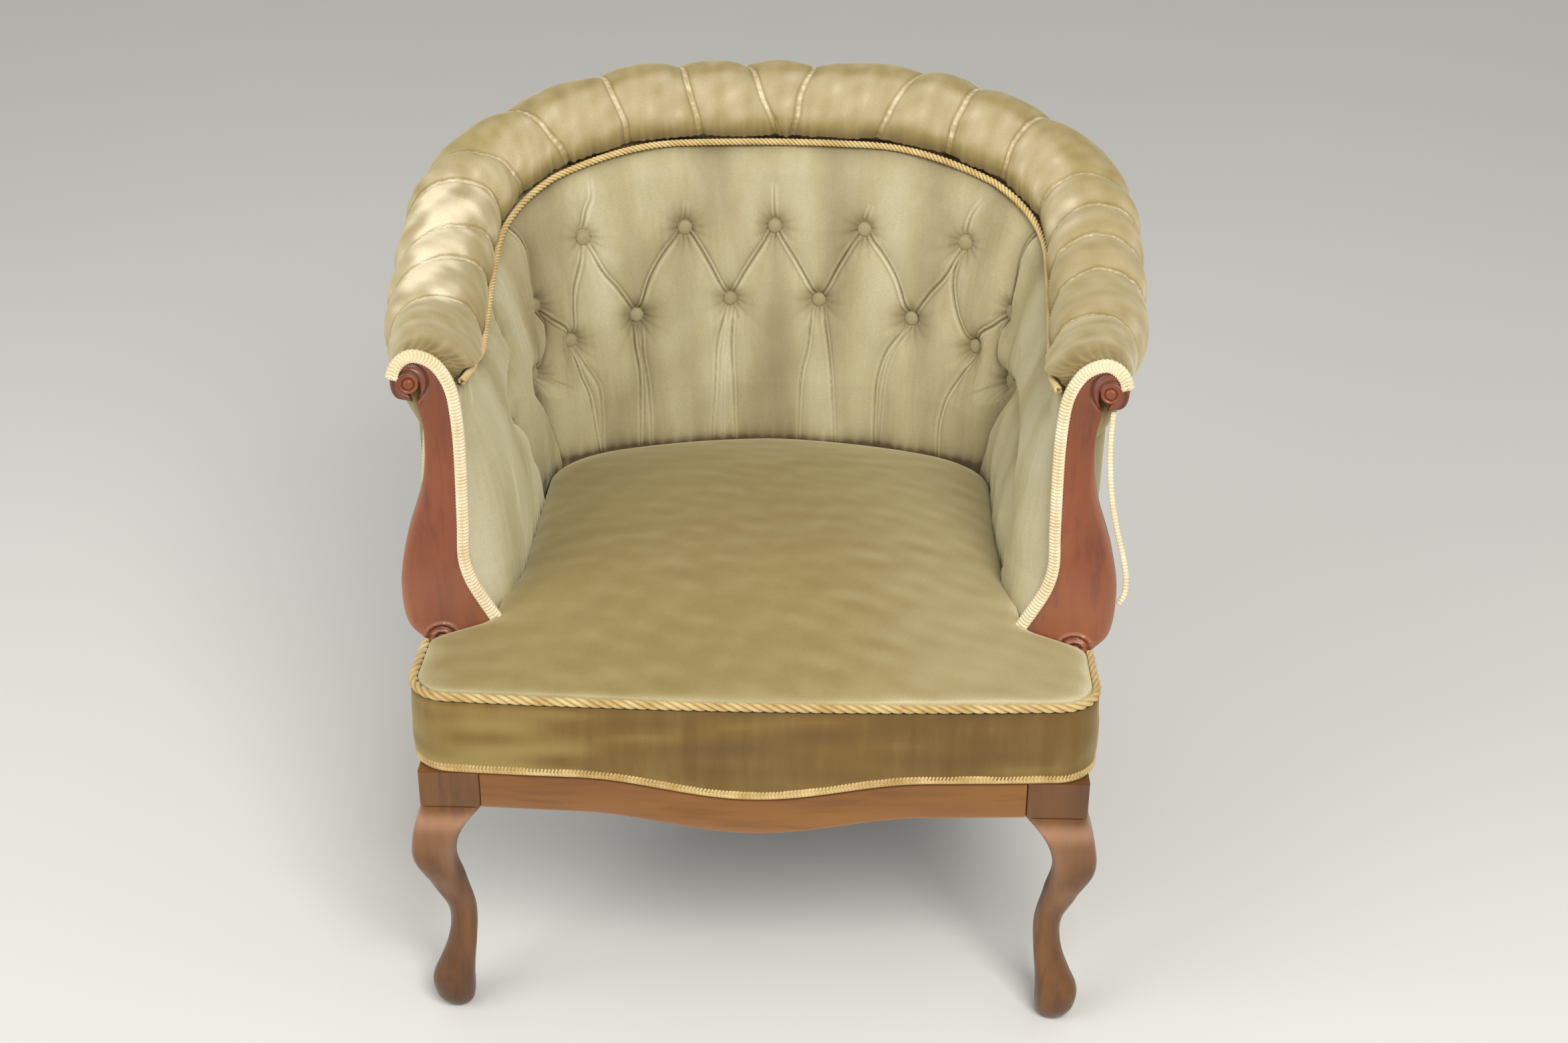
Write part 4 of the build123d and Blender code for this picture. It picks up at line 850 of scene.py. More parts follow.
# %% [markdown]
# ## The buttoned inner back
#
# The inside of the back and arms is one deep pad. Twisted twine pulls each covered button into
# it, and the cloth folds along straight lines between the buttons, down to the seat and up to
# the roll. A sculpted mesh could hold that, but the folds follow a rule, so the depth of the pad
# is a function of the place: full between folds, and drawn in as exp(-d/w) of the distance d to
# each fold, more steeply on a side that laps over the other. Taking a high power mean of all the
# folds keeps each one sharp and their meetings smooth.

# %% Buttons and folds, by way and height
UPPER_BUTTONS = ((0, 577), (108, 577), (230, 573), (318, 514))
LOWER_BUTTONS = ((56, 501), (176, 489), (266, 470), (345, 449))
PAD_BOTTOM, BUTTON_DEPTH = 338.0, 36.0
ROPE_OUT = -ROLL_OUT * math.cos(CREASE) - 2.0
ROPE_UP = -ROLL_UP * math.sin(CREASE) - 5.6
PAD_TOP_BELOW = -ROPE_UP + 4.7
CREASE_OUT_END, CREASE_UP_END = 7.3, 37.0      # how far the crease moves near the roll's ends

# each fold: its points as (way, height), pull at its start and end, breadth, depth of its tucks and
# the side that laps over the other (1 left of its direction on the left arm, -1 right, else none)
COMMON_FOLDS = [
    ([(230, 573), (215, 541), (198, 521), (176, 489)], 0.46, 0.46, 11, 1.5),
    ([(176, 489), (155, 532), (129, 562), (108, 577)], 0.46, 0.46, 11, 1.5),
    ([(108, 577), (97, 566), (82, 544), (67, 518), (56, 501)], 0.46, 0.46, 11, 1.5),
    ([(56, 501), (46, 519), (27, 545), (10, 566), (0, 577)], 0.46, 0.46, 11, 1.5),
    ([(266, 470), (276, 487), (300, 500), (318, 514)], 0.5, 0.5, 12, 1.9),
    ([(318, 514), (316, 496), (330, 471), (345, 449)], 0.7, 0.75, 18, 1.2, 1),
    ([(318, 514), (328, 532), (326, 552), (324, 572), (333, 590), (350, 602)],
     0.8, 0.7, 21, 1.8, -1),
    ([(345, 449), (384, 461), (402, 455), (366, 424), (336, 381), (322, 350)],
     0.8, 0.7, 22, 1.6, 1)]
RIGHT_FOLDS = [
    ([(230, 573), (243, 547), (255, 521), (266, 470)], 0.46, 0.46, 12, 1.3),
    ([(230, 585), (224, 603), (217, 615), (215, 632)], 0.6, 0.05, 12, 1.2),
    ([(108, 588), (106, 608)], 0.4, 0.05, 7, 0.9),
    ([(182, 480), (184, 462), (182, 435), (185, 398), (191, 350)], 0.5, 0.10, 11, 1.3),
    ([(171, 480), (175, 455), (172, 419), (174, 352)], 0.4, 0.05, 8, 0.9),
    ([(62, 492), (74, 462), (80, 415), (88, 350)], 0.5, 0.06, 9, 1.1),
    ([(52, 492), (56, 458), (55, 415), (54, 350)], 0.5, 0.06, 9, 1.1),
    ([(58, 488), (68, 430), (72, 352)], 0.2, 0.02, 5, 0.6),
    ([(270, 462), (264, 438), (255, 418), (253, 397), (251, 350)], 0.5, 0.12, 12, 1.3),
    ([(262, 460), (246, 436), (240, 424), (246, 352)], 0.4, 0.06, 8, 0.8),
    ([(449, 556), (466, 532), (456, 513), (464, 499), (500, 487), (532, 473), (520, 460),
      (488, 442), (484, 428), (452, 388), (430, 350)], 0.85, 0.7, 24, 1.8, 1)]
LEFT_FOLDS = [
    ([(230, 573), (225, 541), (233, 512), (247, 489), (266, 470)], 0.46, 0.46, 12, 1.1),
    ([(231, 585), (236, 606), (245, 620)], 0.5, 0.05, 10, 1.3),
    ([(109, 588), (116, 606)], 0.4, 0.05, 7, 1.2),
    ([(170, 480), (151, 457), (142, 428), (142, 393), (146, 350)], 0.5, 0.10, 11, 1.4),
    ([(178, 480), (162, 460), (153, 429), (153, 352)], 0.3, 0.04, 7, 0.8),
    ([(64, 492), (73, 456), (80, 417), (88, 350)], 0.5, 0.06, 9, 1.1),
    ([(49, 492), (45, 452), (38, 425), (36, 350)], 0.5, 0.06, 9, 1.1),
    ([(272, 460), (253, 438), (241, 417), (236, 387), (241, 350)], 0.5, 0.12, 12, 1.4),
    ([(382, 513), (363, 491), (362, 470), (345, 449)], 0.3, 0.55, 13, 1.4),
    ([(396, 462), (465, 469), (558, 451), (598, 441), (638, 418), (625, 372)],
     0.7, 0.5, 22, 1.4, 1)]
ALL_FOLDS = ([(side, fold) for fold in COMMON_FOLDS for side in (1, -1)]
             + [(-1, fold) for fold in RIGHT_FOLDS] + [(1, fold) for fold in LEFT_FOLDS]
             + [(1, ([(0, 588), (-1, 624)], 0.42, 0.05, 7, 1.2))])
FOLDS = [(side, *fold, 0)[:7] for side, fold in ALL_FOLDS]


def both_sides(spots):
    """Each place on both sides of the middle, and one in the middle once."""
    return [(side * w, z) for w, z in spots for side in ((1, -1) if w else (1,))]


BUTTONS = both_sides(UPPER_BUTTONS + LOWER_BUTTONS)


def fold_field(ways, z):
    """The sink of the cloth (0 to 1), its tucks in mm, and the rubbing and painted light along
    them:
    ridges worn pale with a painted sheen, painted shade in the grooves, and where one side laps
    over, a painted highlight on the lip and a painted shadow on the sunk side. Each fold is a line
    of short straight pieces. Its sink is pull exp(-d / breadth) of the distance d, and the folds
    join as the fifth root of a sum of fifth powers. Where one side laps over, it is steep. A tuck
    is two narrow grooves, side by side."""
    sink, tuck, rub_and_painted_light = np.zeros(z.shape), np.zeros(z.shape), np.zeros(z.shape)
    for side, points, pull1, pull2, breadth, deep, lap in FOLDS:
        line = smooth_path(np.array(points, float) * (side, 1), 26)
        rows = (ways > line[:, 0].min() - 70) & (ways < line[:, 0].max() + 70)
        w, level = ways[rows][:, None], z[rows]
        near, across, share = (np.full(level.shape, start) for start in (1e6, 0.0, 0.0))
        for k, (a, b) in enumerate(zip(line, line[1:])):
            d = b - a
            t = np.clip(((w - a[0]) * d[0] + (level - a[1]) * d[1]) / (d @ d), 0, 1)
            x, y = w - a[0] - t * d[0], level - a[1] - t * d[1]
            far = np.hypot(x, y)
            closer = far < near
            near = np.where(closer, far, near)
            across = np.where(closer, np.sign(d[0] * y - d[1] * x) * far, across)
            share = np.where(closer, (k + t) / (len(line) - 1), share)
        fade = np.sin(math.pi * np.clip(share, 0, 1) ** 0.8) ** 0.25
        pull = pull1 + (pull2 - pull1) * share
        firm = np.minimum(pull / 0.46, 1.25)
        over = across * side * lap
        breadths = np.where(over > 0, breadth * 0.3, breadth * (1.2 if lap else 1))
        sink[rows] += (pull * np.exp(-near / breadths)) ** 5
        grooves = hump(near, 0, 1.3) + 0.6 * hump(across, 4.6, 1.2)
        ridge = hump(across, 2.3, 1.5) + 0.7 * hump(across, -2.6, 1.8)
        tuck[rows] += deep * (0.35 + 0.65 * firm) * (grooves - 0.45 * ridge) * fade
        # ridges worn pale with a painted sheen, and painted shade in the grooves
        rub_and_painted_light[rows] += min(deep, 1.5) * fade * (0.45 * ridge - 0.6 * firm * grooves)
        # on a lapping fold: a painted highlight on the lip, a painted shadow on the sunk side
        lip = np.where(over > 0, 0.5 * np.exp(-near / 9), -0.85 * np.exp(-near / 13))
        rub_and_painted_light[rows] += abs(lap) * fade * lip
    for w0, z0 in BUTTONS:
        far = np.hypot(ways[:, None] - w0, z - z0)
        sink += np.exp(-np.maximum(far - 8.5, 0) / 11.5) ** 5
        tuck *= 1 - 0.8 * hump(far, 0, 9)
    return sink ** 0.2, tuck, rub_and_painted_light


def pad_depth(way, z, height, sink):
    """Depth of the pad inside the padding line, eased to a thin edge behind each facing."""
    v = (z - PAD_BOTTOM) / (height - PAD_TOP_BELOW - PAD_BOTTOM)
    full = np.interp(v, (0, 0.07, 0.25, 0.5, 0.75, 0.92, 1), (46, 53, 58.5, 58, 53.5, 45, 36))
    edge = np.interp(z, (338, 353, 375, 393, 411, 428, 470, 515, 540, 562),
                     (50, 42.5, 31, 24, 22.5, 22.5, 23, 23.5, 25, 30))
    full = full + (BUTTON_DEPTH - full) * sink
    return full + (edge - full) * near_end(way, 80, 2.2)


def web_depth(s, z):
    """How far inside the padding line the upright webbing runs, from its foot to its head."""
    return 18 - 5 * ((z - 316) / (s.height - 38 - 316))


def pad_band():
    """The pad's closed sections: the buttoned face from the seat up, then straight behind. Its
    ends reach a little forward, under the braid of the facings, and close flat."""
    ways = np.linspace(-arm_end - 6, arm_end + 6, 1120)
    w = column(ways)
    s = Stations(w)
    top = s.height - PAD_TOP_BELOW + CREASE_UP_END * crease_rise(w)
    z = PAD_BOTTOM + np.linspace(0, 1, 186) * (top - PAD_BOTTOM)
    sink, tuck, rub_and_painted_light = fold_field(ways, z)
    depth = pad_depth(w, z, s.height, sink)
    around, button_hollow_shade = np.zeros_like(depth), np.zeros_like(depth)
    for bw, bz in BUTTONS:
        far, turn = np.hypot(w - bw, z - bz), np.arctan2(z - bz, w - bw)
        ray = 1 - np.abs(np.sin(6.5 * turn + bw + 0.4 * np.sin(3 * turn))) ** 0.6
        pinch = np.exp(-np.maximum(far - 8, 0) / 11) * smooth_step((far - 5) / 5)
        pinch = pinch * (1 - 0.6 * smooth_step(np.sin(turn)))
        around += pinch * ray * 2.4
        button_hollow_shade += pinch * (0.35 + 0.65 * ray)
    lump = wander(w, z, 75, 21) * 1.2 + wander(w, z * 0.25, 13, 22) * 0.22
    seat_wave, crease_wave = w / 6.1 + np.sin(w / 31), w / 4.3 + np.sin(w / 23)
    seat_gathers = np.abs(np.sin(seat_wave + 0.6 * np.sin(w / 9.7))) * np.exp(-(z - 350) / 13) * 1.3
    crease_gathers = np.abs(np.sin(crease_wave)) * np.exp(-(top - z) / 8) * 1.2
    depth = depth + (lump - seat_gathers - crease_gathers) * (1 - 0.7 * sink) - around - tuck
    front = s.spot(-depth, z)
    behind = -web_depth(s, z) - 4.8
    back = s.spot(behind[:, [-1, 0]], z[:, [-1, 0]])
    arm = smooth_step((np.abs(w) - 380) / 60)
    # tone: fold ridges and painted light, painted shade in the button hollows, painted sheen on the
    # arms (arm), and a slow random wander
    tone = 0.8 * rub_and_painted_light - 0.85 * button_hollow_shade + 0.22 * arm + 0.2 * wander(w, z * 0.3, 90, 23)
    low_shade = np.exp(-np.maximum(z - 354, 0) / 8) * (0.75 + 0.25 * np.abs(np.sin(seat_wave)))
    # painted shade: a band above the seat, and under the cord along the top
    tone = tone - 1.3 * low_shade - 0.55 * np.exp(-(top - z) / 7)
    tone = with_back(np.clip(tone, -1, 0.95))
    cloth = stacked(w, np.concatenate([z, z[:, [-1, 0]]], 1))
    flat_end = s.spot(behind - 0.2, z)
    front = np.concatenate([flat_end[:1], front, flat_end[-1:]])
    rows = np.r_[0, 0:len(ways), len(ways) - 1]
    return np.concatenate([front, back[rows]], 1), cloth[rows], tone[rows]


band, cloth, tone = pad_band()
inner_back = solid("buttoned_back", band, cloth, tone)
dress(inner_back, back_velvet, "velvet", "inner_back")


# %% Covered buttons
def button_bands():
    """Each button: a dome R(1 - (r/R)^2)^0.6 on a short neck, with faint pinches at its rim."""
    turn = full_turn(28)
    radius = np.array([5.0, 7.2, 7.9, 7.7, 6.9, 5.3, 3.4, 1.5])
    lift = np.array([-2.5, -1.6, 0.2, 1.4, 2.5, 3.3, 3.8, 4.0])
    bands = []
    for w, z in BUTTONS:
        s = Stations(np.array([float(w)]))
        inward = -np.array([s.side[0] * s.nx[0], s.ny[0], 0.0])
        across = np.array([-inward[1], inward[0], 0.0])
        middle = s.spot(-BUTTON_DEPTH + 0.3, float(z))[0]
        pinch = 1 + 0.03 * np.cos(7 * turn + w) * (radius[:, None] > 7)
        rim = np.cos(turn)[:, None] * across + np.sin(turn)[:, None] * np.array([0, 0, 1.0])
        reach = (radius[:, None] * pinch)[..., None]
        bands.append(middle + reach * rim + lift[:, None, None] * inward)
    return bands


bands = button_bands()
buttons = solid("covered_buttons", bands, tone=[np.full(b.shape[:2], -0.2) for b in bands])
dress(buttons, back_velvet, "velvet", "buttons")

# %% [markdown]
# ## Twisted cord
#
# A silk cord lies in the crease under the roll, and another along the seat's front edge. A cord
# could be a plain tube with a striped finish, but its strands cast small shadows, so three
# strands are wound round each path: each is a tube whose middle turns about the path as
# (R - r)(cos p, sin p), with p growing along the way.

# %% Cord along a path
def twisted(name, path, side, up, radius, lay):
    """Three strands round a path; side and up are the two directions across it."""
    run = along(path)[:, None]
    strand = 0.56 * radius
    turn = full_turn(9)

    def spoke(angle):
        """Steps across the path at an angle: cos a times side and sin a times up."""
        return np.cos(angle)[..., None] * side[:, None] + np.sin(angle)[..., None] * up[:, None]

    bands, cloths, tones = [], [], []
    for k in range(3):
        phase = 2 * math.pi * (run / lay + k / 3)
        middle = path[:, None] + (radius - strand) * spoke(phase)
        bands.append(middle + strand * spoke(phase + turn))
        cloths.append(stacked(run + 0 * turn, turn * strand))
        # painted shade on each strand's inner side, where the strands meet
        tones.append(-1.0 * (0.5 - 0.5 * np.cos(turn)) ** 1.5 + 0 * run)
    return solid(name, bands, cloths, tones, sharp=80)


def cord_frame(path, side):
    """Side and up made square to the path's own direction."""
    ahead = unit(np.gradient(path, axis=0))
    side = unit(side - (side * ahead).sum(-1, keepdims=True) * ahead)
    return side, np.cross(ahead, side)


def normals_of(s):
    """Outward normals of the stations, as vectors."""
    return np.stack([s.side * s.nx, s.ny, 0 * s.nx], -1)


ROPE_RADIUS, ROLL_ROPE_RADIUS = 4.2, 3.7
ways = np.linspace(-roll_reach, roll_reach, 1500)
s = Stations(ways)
path = s.roll_spot(ROPE_OUT + CREASE_OUT_END * crease_draw(ways),
                   ROPE_UP + CREASE_UP_END * crease_rise(ways))
side, up = cord_frame(path, normals_of(s))
roll_rope = twisted("roll_cord", path, side, up, ROLL_ROPE_RADIUS, 14.0)
dress(roll_rope, roll_cord, "rope", "roll_rope")

ways = np.linspace(-front_line.length + 11, front_line.length - 11, 440)
path = front_spot(ways, 2.5 - ROPE_RADIUS, BORDER_TOP + 0.3 + ROPE_RADIUS)
side, up = cord_frame(path, front_normals(ways))
seat_rope = twisted("seat_cord", path, side, up, ROPE_RADIUS, 30.0)
dress(seat_rope, seat_cord, "rope", "seat_rope")

# %% [markdown]
# ## Flat braid
#
# The braid, or gimp, is a flat band of cord looped in a herringbone, which hides the tacks. It is
# a ribbon whose thickness is a wave along its length, and the wave starts earlier at its edges
# than in its middle, so the ribs lean both ways.

# %% Braid along a path
def braid(name, path, side, lift, width=9.0, thick=1.6, rib=3.2):
    """Ribbon: across t, height h(1 - t^6)(0.66 + 0.34 cos 2 pi (s / rib - 0.5 |t|))."""
    run = along(path)[:, None]
    t = np.linspace(-1, 1, 13)
    wave = np.cos(2 * math.pi * (run / rib - 0.5 * np.abs(t)))
    groove = 1 - 0.35 * hump(t, 0, 0.13)
    height = thick * (1 - t ** 6) * (0.66 + 0.34 * wave) * groove + 0.15
    reach = width / 2 * t * (1 + 0.05 * np.cos(2 * math.pi * run / rib) * np.abs(t))
    face = path[:, None] + reach[..., None] * side[:, None] + height[..., None] * lift[:, None]
    behind = path[:, None] + width / 2 * np.array([[0.96], [-0.96]]) * side[:, None]
    cloth = stacked(run, np.concatenate([t, [1, -1]]) * width / 2)
    shade = with_back(-0.28 * (0.5 - 0.5 * wave) ** 2)
    return solid(name, np.concatenate([face, behind], 1), cloth, shade, sharp=70)


OGEE_DROP, OGEE_REACH = 18.0, 156.0


def ogee(x, level):
    """Level at the sides, and lower in the middle, down in two ogees."""
    return level - OGEE_DROP * (1 + np.cos(math.pi * np.minimum(np.abs(x) / OGEE_REACH, 1))) / 2


def front_level(ways, level):
    """The ogee's height for each way along the front line."""
    return ogee(front_spot(ways, 0.0, 0.0)[:, 0], level)


ways = np.linspace(-front_line.length, front_line.length, 1000)
lift = front_normals(ways)
path = front_spot(ways, 0.3, front_level(ways, 265.0) + 4.5)
side = np.cross(unit(np.gradient(path, axis=0)), lift)
front_gimp = braid("front_braid", path, side, lift)
dress(front_gimp, gold_braid, "gimp", "front_gimp")

# %% [markdown]
# ## The seat
#
# The seat is a full, crowned cushion of springs and hair, wide in front of the facings and
# narrow between the arms. Its outline is worked out from the same plan lines, and its height is
# a function of the place: a crown along the middle line, falling to the sides as (1 - s^p)^q of
# the share s of the half width. The grid runs from one point under the crown to the outline.

# %% Seat
SEAT_INSET, FRONT_INSET = 52.0, 6.8
SEAT_FRONT, SEAT_BOTTOM = -334.2, 322.0
CROWN_TOP, CROWN_Y, FRONT_EDGE_Z, REAR_EDGE_Z = 391.0, -90.0, 342.0, 349.0
WIDEN_Y, NARROW_HALF, WIDE_HALF = -120, 229, 295.2     # where the seat widens, and its halves
CORNER_X, CORNER_RADIUS = 264, 31.2                    # the seat's rounded front corners
SEAT_CENTRE = np.array([0.0, -234.0])


def seat_outline():
    """The horseshoe drawn in, a rounded step at the facing, the front line, and back round."""
    part = np.concatenate([np.zeros(50), np.ones(50)])
    share = np.concatenate([np.linspace(0, 1, 51)[:-1], np.linspace(0, 1, 50)])
    x, y, nx, ny = seat_line.at(part, share)
    rear = np.stack([x - nx * SEAT_INSET, y - ny * SEAT_INSET], 1)
    down = np.linspace(seat_line.corner_y, -190, 50)[1:]
    arm = np.stack([SEAT_HALF - SEAT_INSET + 9 * smooth_step((-down - 60) / 130), down], 1)
    step = np.array([(238.0, -205), (240, -215), (243.5, -221), (249, -224.5), (258, -227),
                     (272, -230.5), (286, -234), (293, -238)])
    front = front_inside(np.linspace(front_line.length - 14, 0, 150), FRONT_INSET)
    half = np.concatenate([rear, arm, step, front])
    closed = np.concatenate([half, (half * (-1, 1))[-2:0:-1], half[:1]])
    return even_steps(closed, 520, endpoint=False)


def seat_height(x, y):
    """Crown of the middle line, falling to the side's height at the half width."""
    ahead = np.clip((y - SEAT_FRONT) / (CROWN_Y - SEAT_FRONT), 0, 1)
    behind = np.clip((y - CROWN_Y) / (SEAT_REAR - SEAT_INSET - CROWN_Y), 0, 1)
    front_rise = FRONT_EDGE_Z + (CROWN_TOP - FRONT_EDGE_Z) * np.sin(ahead * math.pi / 2) ** 0.72
    rear_fall = CROWN_TOP + (REAR_EDGE_Z + 6 - CROWN_TOP) * behind ** 2.2
    middle = np.where(y < CROWN_Y, front_rise, rear_fall)
    toward = smooth_step((WIDEN_Y - y) / 116)
    half = np.where(y > WIDEN_Y, seat_line.half_width_at(y, SEAT_INSET - 1),
                    NARROW_HALF + (WIDE_HALF - NARROW_HALF) * toward)
    corner = np.maximum(CORNER_RADIUS ** 2 - (y + front_line.corner_y) ** 2, 0)
    half = np.where(y < -front_line.corner_y, CORNER_X + np.sqrt(corner), half)
    side = REAR_EDGE_Z + (FRONT_EDGE_Z + 1.5 - REAR_EDGE_Z) * toward
    s = np.clip(np.abs(x) / np.maximum(half, 1), 0, 1)
    p, q = 3.0 - 1.2 * toward, 0.6 + 0.3 * toward
    return side + np.maximum(middle - side, 0) * (1 - s ** p) ** q


def seat_band():
    """Rings from the middle to the outline, then down a short side and back underneath."""
    outline = seat_outline()
    t = column(np.concatenate([np.linspace(0.02, 0.93, 78), np.linspace(0.94, 1, 12)]))
    plan = SEAT_CENTRE + (outline - SEAT_CENTRE) * t[..., None]
    x, y = plan[..., 0], plan[..., 1]
    z = seat_height(x, y)
    z = z + wander(x, y, 120, 31) * 0.7 * (1 - t ** 6)
    bulge = np.array([1.2, 1.6, 0.6, -1.0])[:, None, None]
    drop = column([2.5, 7, 14, 30])
    side = np.concatenate([outline + unit(outline - SEAT_CENTRE) * bulge,
                           np.maximum(z[-1] - drop, SEAT_BOTTOM)[..., None]], -1)
    under = stacked(*plan[40].T, SEAT_BOTTOM)[None]
    band = np.concatenate([np.stack([x, y, z], -1), side, under])
    edge = np.concatenate([np.exp(-(1 - t) / 0.03), np.ones((4, 1)), [[0]]])
    x, y = band[..., 0], band[..., 1]
    # tone: a faint random wander, painted sheen along the rim and down the side (edge), and painted
    # light on the sitter's left half
    tone = 0.06 * wander(x * 0.5, y, 34, 33) + 0.6 * edge + 0.3 * smooth_step((x - 30) / 170)
    middles = [(*SEAT_CENTRE, seat_height(*SEAT_CENTRE)), (*SEAT_CENTRE, SEAT_BOTTOM)]
    return band, band[..., :2].copy(), np.clip(tone, -0.4, 0.8), middles


band, cloth, tone, middles = seat_band()
seat = solid("seat_velvet_cushion", band, cloth, tone, middles)
dress(seat, seat_velvet, "velvet", "seat_cushion")

# %% [markdown]
# ## The front border and the show-wood under it
#
# A padded panel goes round the seat's front, and below it a strip of mahogany shows, with both
# edges cut in two ogees. They are sections carried along the front line, like the braid.

# %% Border
BORDER_LOW = 264.3


def border_band():
    """Sections up the border: puffed between its edges, gathered near them, and flat behind."""
    ways = np.linspace(-front_line.length, front_line.length, 420)
    w, v = column(ways), np.linspace(0, 1, 34)
    low = column(front_level(ways, BORDER_LOW))
    z = low + v * (BORDER_TOP - low)
    full = np.sin(math.pi * v)
    gathers = 0.5 * np.abs(np.sin(w / 6 + np.sin(w / 23)))
    by_edges = (np.exp(-(1 - v) / 0.06) + np.exp(-v / 0.1)) * full ** 0.3
    puff = 2.2 * full ** 0.6 + 0.5 * wander(w, z, 42, 41) * full + gathers * by_edges
    # tone: random streaks, darker in the middle, painted shade under the cord along the top, paler
    # low at the sides, and paler on the sitter's right than on the left
    tone = 0.16 * wander(w * 0.22, z * 1.6, 34, 42) - 0.3 * hump(w, 0, 150) * full
    tone = tone - 0.5 * np.exp(-(1 - v) / 0.05)
    tone = tone + 0.25 * np.exp(-v / 0.3) * smooth_step((np.abs(w) - 120) / 120)
    tone = tone + 0.25 * smooth_step((-w - 60) / 160) - 0.15 * smooth_step((w - 60) / 160)
    back_z = z[:, [-1, 0]]
    band = np.concatenate([front_spot(w, puff, z), front_spot(w, -6.5, back_z)], 1)
    return band, stacked(w, np.concatenate([z, back_z], 1)), with_back(np.clip(tone, -1, 0.5))


band, cloth, tone = border_band()
border = solid("front_border_velvet", band, cloth, tone)
dress(border, border_velvet, "velvet", "front_border")

# %% Show-wood strip
APRON_TOP, APRON_LOW = 264.0, 229.0
reach = BLOCK_OUTER - BLOCK - 0.3
ways = np.linspace(-reach, reach, 240)
top, low = (column(front_level(ways, level)) for level in (APRON_TOP, APRON_LOW))
# round the section from behind the top: how far out, how high as a share, and the tone
outs = np.array([-6.5, -6.5, -0.5, 0.9, 1.5, 1.5, 1.5, 1.1, 0.2])
lifts = np.array([1.0, 0.0, 0.0, 0.02, 0.09, 0.5, 0.95, 0.99, 1.0])
band = front_spot(column(ways), outs, low + lifts * (top - low))
# the tone is painted light: shade under the lower edge, a highlight along its rounded lower edge
# and shade under the braid at the top
tone = np.broadcast_to(np.array([0, 0, -0.3, 0.35, 0.1, 0, -0.1, -0.4, -0.5]), band.shape[:2])
apron = solid("apron_strip", band, None, tone)
dress(apron, apron_wood, "mahogany", "front_apron")

# %% [markdown]
# ## Outside covers
#
# The outsides of the arms and back are plain velvet, pulled straight from the seat rails up to
# the roll. Each is a thin sheet, cut flat and tacked at its edges. The posts and rails of the
# arms, which they hide, are cut slimmer near the facings, where the covers draw in.

# %% Covers
def drawn_in(z):
    """How far the covers and the wood behind them move in near the facings, by height."""
    return np.interp(z, (430, 487, 515, 528), (0.0, 5.5, 9.0, 10.3))


COVER_LOW, COVER_HIGH = 234.0, 528.0       # heights of a cover's two edges behind a facing


def cover_point(s, share, off):
    """From a point by the seat rail to one under the roll, straight between them. Close to the
    facings the cover draws in behind the narrow part of the carved board."""
    low = s.sill_spot(1.0 + off, COVER_LOW)
    high = s.roll_spot(12.5 + off, -34.3)
    inward = drawn_in(COVER_LOW + (COVER_HIGH - COVER_LOW) * share) * near_end(s.way, 60.0)
    return low + (high - low) * share[..., None] - inward[..., None] * normals_of(s)


def cover(name, start, end, node, seed):
    """A thin closed sheet: outer face with a slight belly, inner face straight behind it."""
    ways = np.linspace(start, end, max(60, int(abs(end - start) / 5)))
    s = Stations(column(ways))
    v = np.linspace(0, 1, 60)[None]
    full = np.sin(math.pi * v)
    belly = (1.6 * full ** 0.7 + 0.5 * wander(s.way, v * 300, 70, seed)) * full ** 0.4
    outer = cover_point(s, v, 2.0) + normals_of(s) * belly[..., None]
    inner = cover_point(s, v[:, ::-1], 0.0)
    rise = along(outer.swapaxes(0, 1)).swapaxes(0, 1)
    cloth = stacked(s.way, np.concatenate([rise, rise[:, ::-1]], 1))
    # painted shade along the top edge, under the roll, with a slow random wander
    shade = 0.1 * wander(s.way, v * 150, 80, seed + 1) - 0.5 * np.exp(-(1 - v) / 0.05)
    shade = np.clip(with_back(shade, v.size), -1, 1)
    piece = solid(name, np.concatenate([outer, inner], 1), cloth, shade)
    dress(piece, seat_velvet, "velvet", node)


def arm_post_band(side):
    """The post behind a facing, inside the drawn-in cover."""
    s = Stations(side * (roll_reach - column([0, 0, 28, 28])))
    inner, outer_share = column([-12, 0, 0, -12]), column([0, 1, 1, 0])
    low, top = RAIL_TOP + 0.3, s.height - 38.3
    rows = []
    for t in np.linspace(0, 1, 24):
        z = low + (top - low) * t
        outer = np.minimum(10.5, 10.5 - 1.15 * drawn_in(z[:1] + 8))
        rows.append(s.spot(inner + outer_share * outer, z)[:, 0])
    return np.stack(rows)


def arm_rail_band(side):
    """The arm's top rail, thinner towards the post."""
    s = Stations(side * column(np.linspace(LEG_WAY + COVER_JOINT, roll_reach, 70)))
    outer = 11.5 - 9.3 * near_end(s.way, 62.0)
    out = np.concatenate([0 * outer - 13.0, outer, outer, 0 * outer - 13.0], 1)
    return s.roll_spot(out, np.array([-38.0, -38.0, -14.0, -14.0]))


LEG_WAY, COVER_JOINT = 318.0, 0.15         # the back legs' place, where back and arm covers meet
for side, hand in SIDES:
    for name, band in (("arm_post", arm_post_band(side)), ("arm_rail", arm_rail_band(side))):
        beam = solid(f"slim_{name}_{hand}", band, sharp=30)
        dress(beam, frame_beech, "frame_wood", f"{name}_{hand}")

back_end, arm_start = LEG_WAY - COVER_JOINT, LEG_WAY + COVER_JOINT
cover("outside_back_cover", -back_end, back_end, "outside_back", 51)
cover("outside_arm_cover_left", arm_start, roll_reach, "outside_arm_left", 53)
cover("outside_arm_cover_right", -arm_start, -roll_reach, "outside_arm_right", 55)

